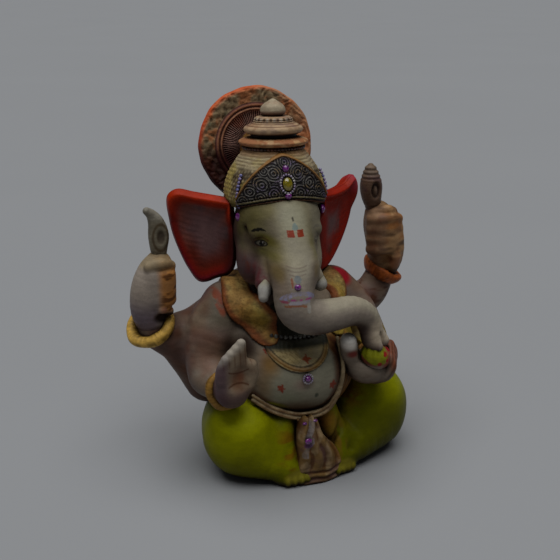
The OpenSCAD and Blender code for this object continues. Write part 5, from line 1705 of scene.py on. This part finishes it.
def painted_underside_shade(points, faces, rgb, amount=0.45):
    """Painted shade: warm brown that darkens what faces down and thins out towards what faces up."""
    lean = np.zeros((len(points), 3))
    side = np.cross(points[faces[:, 2]] - points[faces[:, 0]], points[faces[:, 3]] - points[faces[:, 1]])
    for corner in range(4):
        np.add.at(lean, faces[:, corner], side)
    rise = lean[:, 2] / np.maximum(np.linalg.norm(lean, axis=1), 1e-9)
    w = (amount * fade(rise, -0.75, 0.75))[:, None]
    return rgb * (1 - w) + rgb * (0.42, 0.30, 0.20) * w


def grains():
    """The two grain sizes of the clay, in millimetres."""
    paint = bpy.context.scene.idol_paint
    return paint.grain / MM, paint.fine_grain / MM


class IDOL_OT_body(bpy.types.Operator):
    """Casts the torso with its four arms, and lays shawls, belt and breastplate over it"""
    bl_idname = "idol.body"
    bl_label = "Body and cloth"

    def execute(self, context):
        grain, fine = grains()
        body = body_clay(grain)
        sculpture("body_casting", body, paint_body, "painted_skin",
                  ["torso", "right_front_arm", "left_front_arm", "right_rear_arm",
                                   "left_rear_arm"])
        thickness = context.scene.idol_paint.shawl_thickness / MM
        for name, path, seed in (("right_shawl", RIGHT_SHAWL, 1), ("left_shawl", LEFT_SHAWL, 2)):
            cloth, line = shawl(body, path, thickness, seed)
            sculpture(name, cloth, lambda p: paint_shawl(p, line, 10.5), "painted_brocade")
        sculpture("pectoral", breastplate(body), paint_breastplate, "painted_gold")
        sculpture("waist_sash", belt_clay(fine), paint_belt, "painted_gold")
        return {"FINISHED"}


class IDOL_OT_lap(bpy.types.Operator):
    """Casts the seat with the folded legs, and the pleats that hang between the feet"""
    bl_idname = "idol.lap"
    bl_label = "Legs and pleats"

    def execute(self, context):
        grain, fine = grains()
        sculpture("lap_casting", lap_clay(grain * 0.9), paint_lap, "painted_dhoti",
                  ["seat_block", "right_leg", "left_leg", "right_foot", "left_foot"])
        sculpture("dhoti_pleats", pleat_clay(fine), paint_pleats, "painted_gold")
        return {"FINISHED"}


class IDOL_OT_head(bpy.types.Operator):
    """Sculpts the head with its trunk, the two tusks and the ears"""
    bl_idname = "idol.head"
    bl_label = "Head, tusks and ears"

    def execute(self, context):
        grain, fine = grains()
        sculpture("head_and_trunk", head_clay(fine), paint_head, "painted_skin",
                  ["head", "trunk"])
        sculpture("right_tusk", tusk_clay(TUSK_GRAIN, -1, 4), paint_tusk, "painted_tusk")
        sculpture("left_tusk", tusk_clay(TUSK_GRAIN, 1, 3), paint_tusk, "painted_tusk")
        make_ear("right_ear", -1, 24, finish("painted_ears"))
        make_ear("left_ear", 1, 36, finish("painted_ears"))
        return {"FINISHED"}


class IDOL_OT_hands(bpy.types.Operator):
    """Sculpts the four hands and what they hold, and sets the bangles on the wrists"""
    bl_idname = "idol.hands"
    bl_label = "Hands, bangles and attributes"

    def execute(self, context):
        _, fine = grains()
        skin = "painted_skin"
        sculpture("right_front_hand", open_hand(fine), paint_open_hand, skin)
        sculpture("left_front_hand", giving_hand(fine), paint_giving_hand, skin)
        levels = (121.5, 116.5, 111.5, 106.5)
        right = fist(fine, (-78, 8, 92, 8.6, 8.6, 7),
                     [(-80, 1, 126, 3.4), (-74, -1.4, 128, 3.7), (-67.5, 3, 125, 3.2)],
                     [(-78, 8, 90, 8.4), (-79.6, 7.5, 99, 10.6), (-78.4, 7, 110, 11.4), (-75.6, 7, 119, 10.6),
                      (-72.8, 8, 125.5, 7.6)],
                     [[(-78, -1.0, z, 3.0), (-72.5, -3.0, z - 0.5, 3.2), (-68.6, 0.6, z - 1, 3.1),
                       (-68, 6, z - 1, 2.8)]
                      for z in levels],
                     [(-71, -1, 99.5, 3.2), (-74.6, -2.8, 101.8, 3.3)])
        right.cut(egg((-74.5, -4.6, 95.6), (5.2, 4.4, 3.4)), 2.2)
        sculpture("right_rear_hand", right, paint_right_fist, skin)
        levels = (137, 130.5, 124, 117.5)
        left = fist(fine, (79, 13.6, 101, 8.4, 8.4, 7),
                    [(82, 8, 140, 3.2), (76, 5, 142, 3.6), (70, 9, 140, 3.2)],
                    [(78.6, 14, 99, 8.6), (80.6, 12.6, 110, 11.4), (79.6, 12, 121, 12.2),
                     (77, 12.6, 131, 11.4), (75, 13.6, 138, 8.6)],
                    [[(84.5, 5.0, z - 1, 3.2), (78, 2.4, z, 3.6), (71, 3.2, z, 3.6),
                      (67.4, 8.6, z - 1, 3.2)] for z in levels],
                    [(81, 3.8, 105, 3.8), (80.8, 1.4, 112.5, 4.4)])
        left.cut(egg((73, 2, 110), (5, 4, 4)), 3)
        sculpture("left_rear_hand", left, paint_left_fist, skin)
        sculpture("right_goad", goad_clay(SMALL_GRAIN), paint_goad, "painted_gold")
        sculpture("left_lotus_bud", bud_clay(SMALL_GRAIN), paint_bud, "painted_gold")
        for node, hue, flare, thickness, lean, seed in (
                ("right_rear_bangle", srgb(276, 222, 108), 0.5, 3.9, (-0.1, -0.45, 0), 1),
                ("left_rear_bangle", srgb(240, 128, 62), 0.6, 3.2, (0.05, -0.25, 0), 2),
                ("right_front_bangle", srgb(196, 146, 66), 0.1, 2.5, (0, 0, 0), 3),
                ("left_front_bangle", srgb(200, 144, 76), 0.1, 2.5, (0, 0, 0), 4)):
            bangle(node, hue, flare, thickness, lean, seed)
        return {"FINISHED"}


class IDOL_OT_sweet(bpy.types.Operator):
    """Shapes the sweet that lies in the left hand"""
    bl_idname = "idol.sweet"
    bl_label = "Sweet"

    def execute(self, context):
        clay = Clay((22, -70, 62), (50, -44, 88), SMALL_GRAIN)
        clay.add(egg((34.6, -56, 74), (9, 8.6, 7.6), (0, 20, 0)))
        clay.add(egg((33, -56, 79), (4.4, 4.6, 4.2)), 3)

        def pinches(x, y, z):
            return 0.35 * np.sin(np.arctan2(y + 56, x - 34.6) * 11) * smooth(z, 72, 77)

        clay.relief((22, -70, 66), (50, -44, 88), pinches)

        def paint(p):
            x, y, z = p.T
            coat = Coat(p, (196, 110, 84))
            coat.stain(BROWN, 3, 0.5, 4)
            crescent = np.hypot((x - 32) / 6.5, (z - 77) / 6) < 1
            coat.brush((178, 184, 28), crescent * smooth(39 - x, 0, 3) * 0.95)
            coat.brush((196, 190, 180), 0.8 * smooth(72 - z, 0, 3) * smooth(38 - x, 0, 4))
            for cx, cz, r in ((36.3, 77.2, 1.4), (32.6, 72.0, 1.3), (41.0, 79.0, 1.8), (37.4, 73.6, 1.0)):
                coat.brush((206, 30, 50), (np.hypot(x - cx, z - cz) < r) * 0.95)
            return coat.rgb

        sculpture("sweet", clay, paint, "painted_sweet")
        return {"FINISHED"}


class IDOL_OT_crown(bpy.types.Operator):
    """Turns the crown's dome, tier and finial, and lays the front plate on it"""
    bl_idname = "idol.crown"
    bl_label = "Crown"

    def execute(self, context):
        make_dome(finish("painted_crown"))
        make_plate(finish("painted_plate"))
        make_tier(finish("painted_crown"))
        make_finial(finish("painted_crown"))
        return {"FINISHED"}


class IDOL_OT_halo(bpy.types.Operator):
    """Carves the halo and the bracket that carries it"""
    bl_idname = "idol.halo"
    bl_label = "Halo and bracket"

    def execute(self, context):
        make_halo(finish("painted_halo"))
        grain, _ = grains()
        clay = Clay((-24, 2, 158), (14, 40, 196), grain)
        stations = [(0, 14, 165, 9.0), (0, 19, 174, 9.0), (0, 23, 182, 8.4), (0, 25.5, 187, 7.0)]
        for shift in (-3.2, 3.2):
            clay.add(limb([(*from_head(x + shift - 2.5, y, z), r) for x, y, z, r in stations]), 3)
        clay.cut(slab((-8, 47, 185), (60, 18, 60), 0.5, (-6, 0, -10)), 0)

        def paint(p):
            coat = Coat(p, (176, 130, 66))
            coat.stain(BROWN, 8, 0.8, 3)
            return coat.rgb

        sculpture("halo_bracket", clay, paint, "painted_gold")
        return {"FINISHED"}


def gem(name, centre, size, facing, material, nodes, facets):
    """A domed cut stone: a low cone of facets on a girdle, glued at the centre and facing outwards."""
    look = Vector(facing).normalized()
    side = look.cross(Vector((0, 0, 1))).normalized()
    up = side.cross(look)
    rows = [(1.0, -0.35), (1.0, 0.05), (0.86, 0.35), (0.55, 0.62), (0.2, 0.72)]
    a = np.arange(facets) * 2 * math.pi / facets
    wide, tall, deep = size
    ring = np.stack([np.array(centre) + np.outer(np.cos(a) * r * wide, side)
                     + np.outer(np.sin(a) * r * tall, up)
                     + np.outer(np.ones(facets) * h * deep, look) for r, h in rows])
    points, faces = tube(ring)
    return piece(name, points, outward(points, faces), material, nodes)


class IDOL_OT_stones(bpy.types.Operator):
    """Glues on the stones, and strings the beads along their lines"""
    bl_idname = "idol.stones"
    bl_label = "Stones and beads"

    def execute(self, context):
        sizes = context.scene.idol_beads
        violet = glass_stone("violet_glass", srgb(110, 10, 130), srgb(206, 90, 206))
        olive = glass_stone("olive_cabochon", srgb(150, 140, 20), srgb(206, 176, 30))
        blue, silver, brown, white = (
            lacquer_beads(name + "_lacquer", srgb(*colour), srgb(*other)) for name, colour, other in (
                ("blue", (130, 136, 206), (176, 150, 206)), ("silver", (120, 118, 106), (50, 50, 46)),
                ("brown", (120, 60, 34), (60, 34, 30)), ("white", (214, 208, 206), (176, 156, 196))))

        def stone(name, centre, size, facing, facets, nodes=(), glass=violet):
            gem(name, centre, size, facing, glass, nodes, facets)

        def string(name, lines, spacing, size, lacquer, difference, nodes):
            settle(beads_along(name, lines, spacing, size, lacquer, difference, sizes.seed), nodes)

        def on_plate(x, z, lift=2.9):
            r = float(dome_radius(z)) + lift
            return on_crown(np.array([x, -math.sqrt(r * r - x * x), z]))

        look = np.array(turned((0, -1, 0), HEAD_TURN, (0, 0, 0)))
        tip_back = look + (0, 0, 0.35)
        stone("crown_cabochon", on_plate(0, 14, 3.0), (2.7, 3.7, 2.2), tip_back, 32, ["crown_stones"], olive)
        stone("crown_stone_low", on_plate(0, 7.6), (1.9, 1.7, 1.4), look, 8)
        stone("crown_stone_high", on_plate(0, 22.0), (1.9, 2.0, 1.4), tip_back, 8)
        circle = np.linspace(0, 2 * math.pi, 40)
        rim = np.array([on_plate(3.9 * math.cos(t), 14 + 4.9 * math.sin(t)) for t in circle])
        string("cabochon_pearls", [rim], 1.5, 1.5, white, 0.2, [])
        neck = np.array([(17.3 * math.cos(t), 17.3 * math.sin(t),
                          31.2) for t in np.linspace(0, 2 * math.pi, 120)])
        string("crown_ring_beads", [on_crown(neck)], 1.9, sizes.ring_bead / MM, brown, 0.25,
               ["crown_ring_beads"])
        heights = np.linspace(0.2, 17.5, 24)
        lines = []
        for angle in np.radians((-58, 76)):
            r = dome_radius(heights) + 0.9
            lines.append(on_crown(np.stack([r * math.sin(angle), -r * math.cos(angle), heights], -1)))
        string("crown_bead_strings", lines, 1.95, sizes.string_bead / MM, blue, 0.25,
               ["crown_bead_strings"])
        for angle, name in ((-60, "right_temple_stone"), (78, "left_temple_stone")):
            turn = math.radians(angle)
            out = np.array([math.sin(turn), -math.cos(turn), 0]) * (CROWN_R - 1.2)
            near_end, far_end = on_crown(out + (0, 0, -5.6)), on_crown(2 * out + (0, 0, -5.6))
            stone(name, near_end, (3.0, 2.7, 2.4), far_end - near_end, 8)
        angle = np.radians(np.linspace(-40, 40, 60))
        throat = np.stack([-2 + 30 * np.sin(angle), -15.4 - 24.6 * np.cos(angle), 92.5 - 6 * np.cos(angle)],
                          -1)
        string("bead_necklace", [throat], 2.6, sizes.necklace_bead / MM, silver, 0.3, ["bead_necklace"])
        navel = np.array((-8.0, -54.6, 66.8))
        stone("navel_gem", navel, (1.8, 1.8, 1.6), (-0.15, -1, 0.12), 10, ["navel_gem"])
        across, up = np.cos(circle), np.sin(circle)
        ring = navel + np.stack([2.6 * across, 0.1 - 0.4 * across + 0.3 * up, 2.6 * up], -1)
        string("navel_pearls", [ring], 1.25, 1.35, white, 0.15, [])
        middle = (np.array(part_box("trunk_stone")[0]) + np.array(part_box("trunk_stone")[1])) / 2 / MM
        stone("trunk_stone", middle + (0.3, 1.4, 3.6), (1.9, 1.7, 1.5), (-0.25, -1, 0.25), 6, ["trunk_stone"])
        stone("dhoti_stone_front", (-8.3, -56.4, 28.8), (2.2, 1.9, 1.3), (-0.1, -1, 0), 7, ["dhoti_stones"])
        stone("dhoti_stone_1", (-8.6, -52.9, 38.6), (1.9, 1.0, 1.2), (0, -1, 0.1), 6)
        stone("dhoti_stone_2", (-2.6, -52.9, 39.2), (1.9, 1.0, 1.2), (0, -1, 0.1), 6)
        return {"FINISHED"}


class IDOL_OT_inner_parts(bpy.types.Operator):
    """Finishes the parts that hold the castings together: rod, plug and pins"""
    bl_idname = "idol.inner_parts"
    bl_label = "Rod, plug and pins"

    def execute(self, context):
        wood, wire = core_wood(), drawn_wire()
        wooden = ("core_rod", "base_plug")
        for node in (*wooden, "halo_pins", "arm_pins", "ear_pins", "tusk_pins", "finial_pin"):
            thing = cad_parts[node]
            material = wood if node in wooden else wire
            for slot in thing.material_slots:
                slot.material = material
            if not thing.material_slots:
                thing.data.materials.append(material)
        return {"FINISHED"}


class IDOL_OT_stage(bpy.types.Operator):
    """Lays the floor, and sets the soft light and the camera"""
    bl_idname = "idol.stage"
    bl_label = "Stage"

    def execute(self, context):
        stage = context.scene.idol_stage
        mesh = bpy.data.meshes.new("floor")
        corners = [(x * FLOOR_HALF, y * FLOOR_HALF, 0) for x, y in ((-1, -1), (1, -1), (1, 1), (-1, 1))]
        mesh.from_pydata(corners, [], [(0, 1, 2, 3)])
        floor = bpy.data.objects.new("floor", mesh)
        context.scene.collection.objects.link(floor)
        f = Finish("floor_paper", 0.9, 0.1)
        tone = f.ramp(f.noise(400, 2), 0.3, 0.7, 0.99, 1.01)
        f.link(f.mix("MULTIPLY", 1.0, tuple(stage.floor), tone), f.shader.inputs["Base Color"])
        mesh.materials.append(f.material)
        world = bpy.data.worlds.new("even_light")
        world.use_nodes = True
        nodes, link = world.node_tree.nodes, world.node_tree.links.new
        even = nodes["Background"]
        even.inputs["Color"].default_value = SKY_TONE
        even.inputs["Strength"].default_value = stage.sky
        wall = nodes.new("ShaderNodeBackground")
        wall.inputs["Color"].default_value = WALL_TONE
        seen, both = nodes.new("ShaderNodeLightPath"), nodes.new("ShaderNodeMixShader")
        link(seen.outputs["Is Camera Ray"], both.inputs[0])
        link(even.outputs[0], both.inputs[1])
        link(wall.outputs[0], both.inputs[2])
        link(both.outputs[0], nodes["World Output"].inputs["Surface"])
        context.scene.world = world
        lamp = bpy.data.lights.new("broad_lamp", "SUN")
        lamp.energy = stage.lamp
        lamp.angle = math.radians(62)
        holder = bpy.data.objects.new("broad_lamp", lamp)
        holder.rotation_euler = (math.radians(5), math.radians(-4), 0)
        context.scene.collection.objects.link(holder)
        camera = bpy.data.cameras.new("camera")
        camera.lens = 60
        camera.sensor_width = 36
        camera.clip_start = 0.01
        camera.clip_end = 100
        seat = bpy.data.objects.new("camera", camera)
        back = Vector((math.sin(stage.turn) * math.cos(stage.rise),
                       -math.cos(stage.turn) * math.cos(stage.rise),
                       math.sin(stage.rise)))
        seat.location = AIM + back * stage.distance
        seat.rotation_euler = back.to_track_quat("Z", "Y").to_euler()
        context.scene.collection.objects.link(seat)
        context.scene.camera = seat
        context.scene.view_settings.view_transform = "Standard"
        return {"FINISHED"}


class IDOL_PT_panel(bpy.types.Panel):
    """Everything that makes the idol, in order"""
    bl_label = "Painted Plaster Idol"
    bl_idname = "IDOL_PT_panel"
    bl_space_type = "VIEW_3D"
    bl_region_type = "UI"
    bl_category = "Idol"

    def draw(self, context):
        layout = self.layout
        for group in ("idol_paint", "idol_beads", "idol_stage"):
            settings = getattr(context.scene, group)
            box = layout.box()
            for name in settings.__annotations__:
                box.prop(settings, name)
        for operator in OPERATORS:
            layout.operator(operator.bl_idname)


OPERATORS = (IDOL_OT_stage, IDOL_OT_body, IDOL_OT_lap, IDOL_OT_head, IDOL_OT_hands, IDOL_OT_sweet,
             IDOL_OT_crown, IDOL_OT_halo, IDOL_OT_stones, IDOL_OT_inner_parts)
GROUPS = (("idol_paint", IdolPaint), ("idol_beads", IdolBeads), ("idol_stage", IdolStage))


def register():
    for name, group in GROUPS:
        bpy.utils.register_class(group)
        setattr(bpy.types.Scene, name, PointerProperty(type=group))
    for operator in OPERATORS:
        bpy.utils.register_class(operator)
    bpy.utils.register_class(IDOL_PT_panel)


def unregister():
    bpy.utils.unregister_class(IDOL_PT_panel)
    for operator in reversed(OPERATORS):
        bpy.utils.unregister_class(operator)
    for name, group in reversed(GROUPS):
        delattr(bpy.types.Scene, name)
        bpy.utils.unregister_class(group)


def main():
    register()
    for operator in OPERATORS:
        group, name = operator.bl_idname.split(".")
        getattr(getattr(bpy.ops, group), name)()


if __name__ == "__main__":
    main()
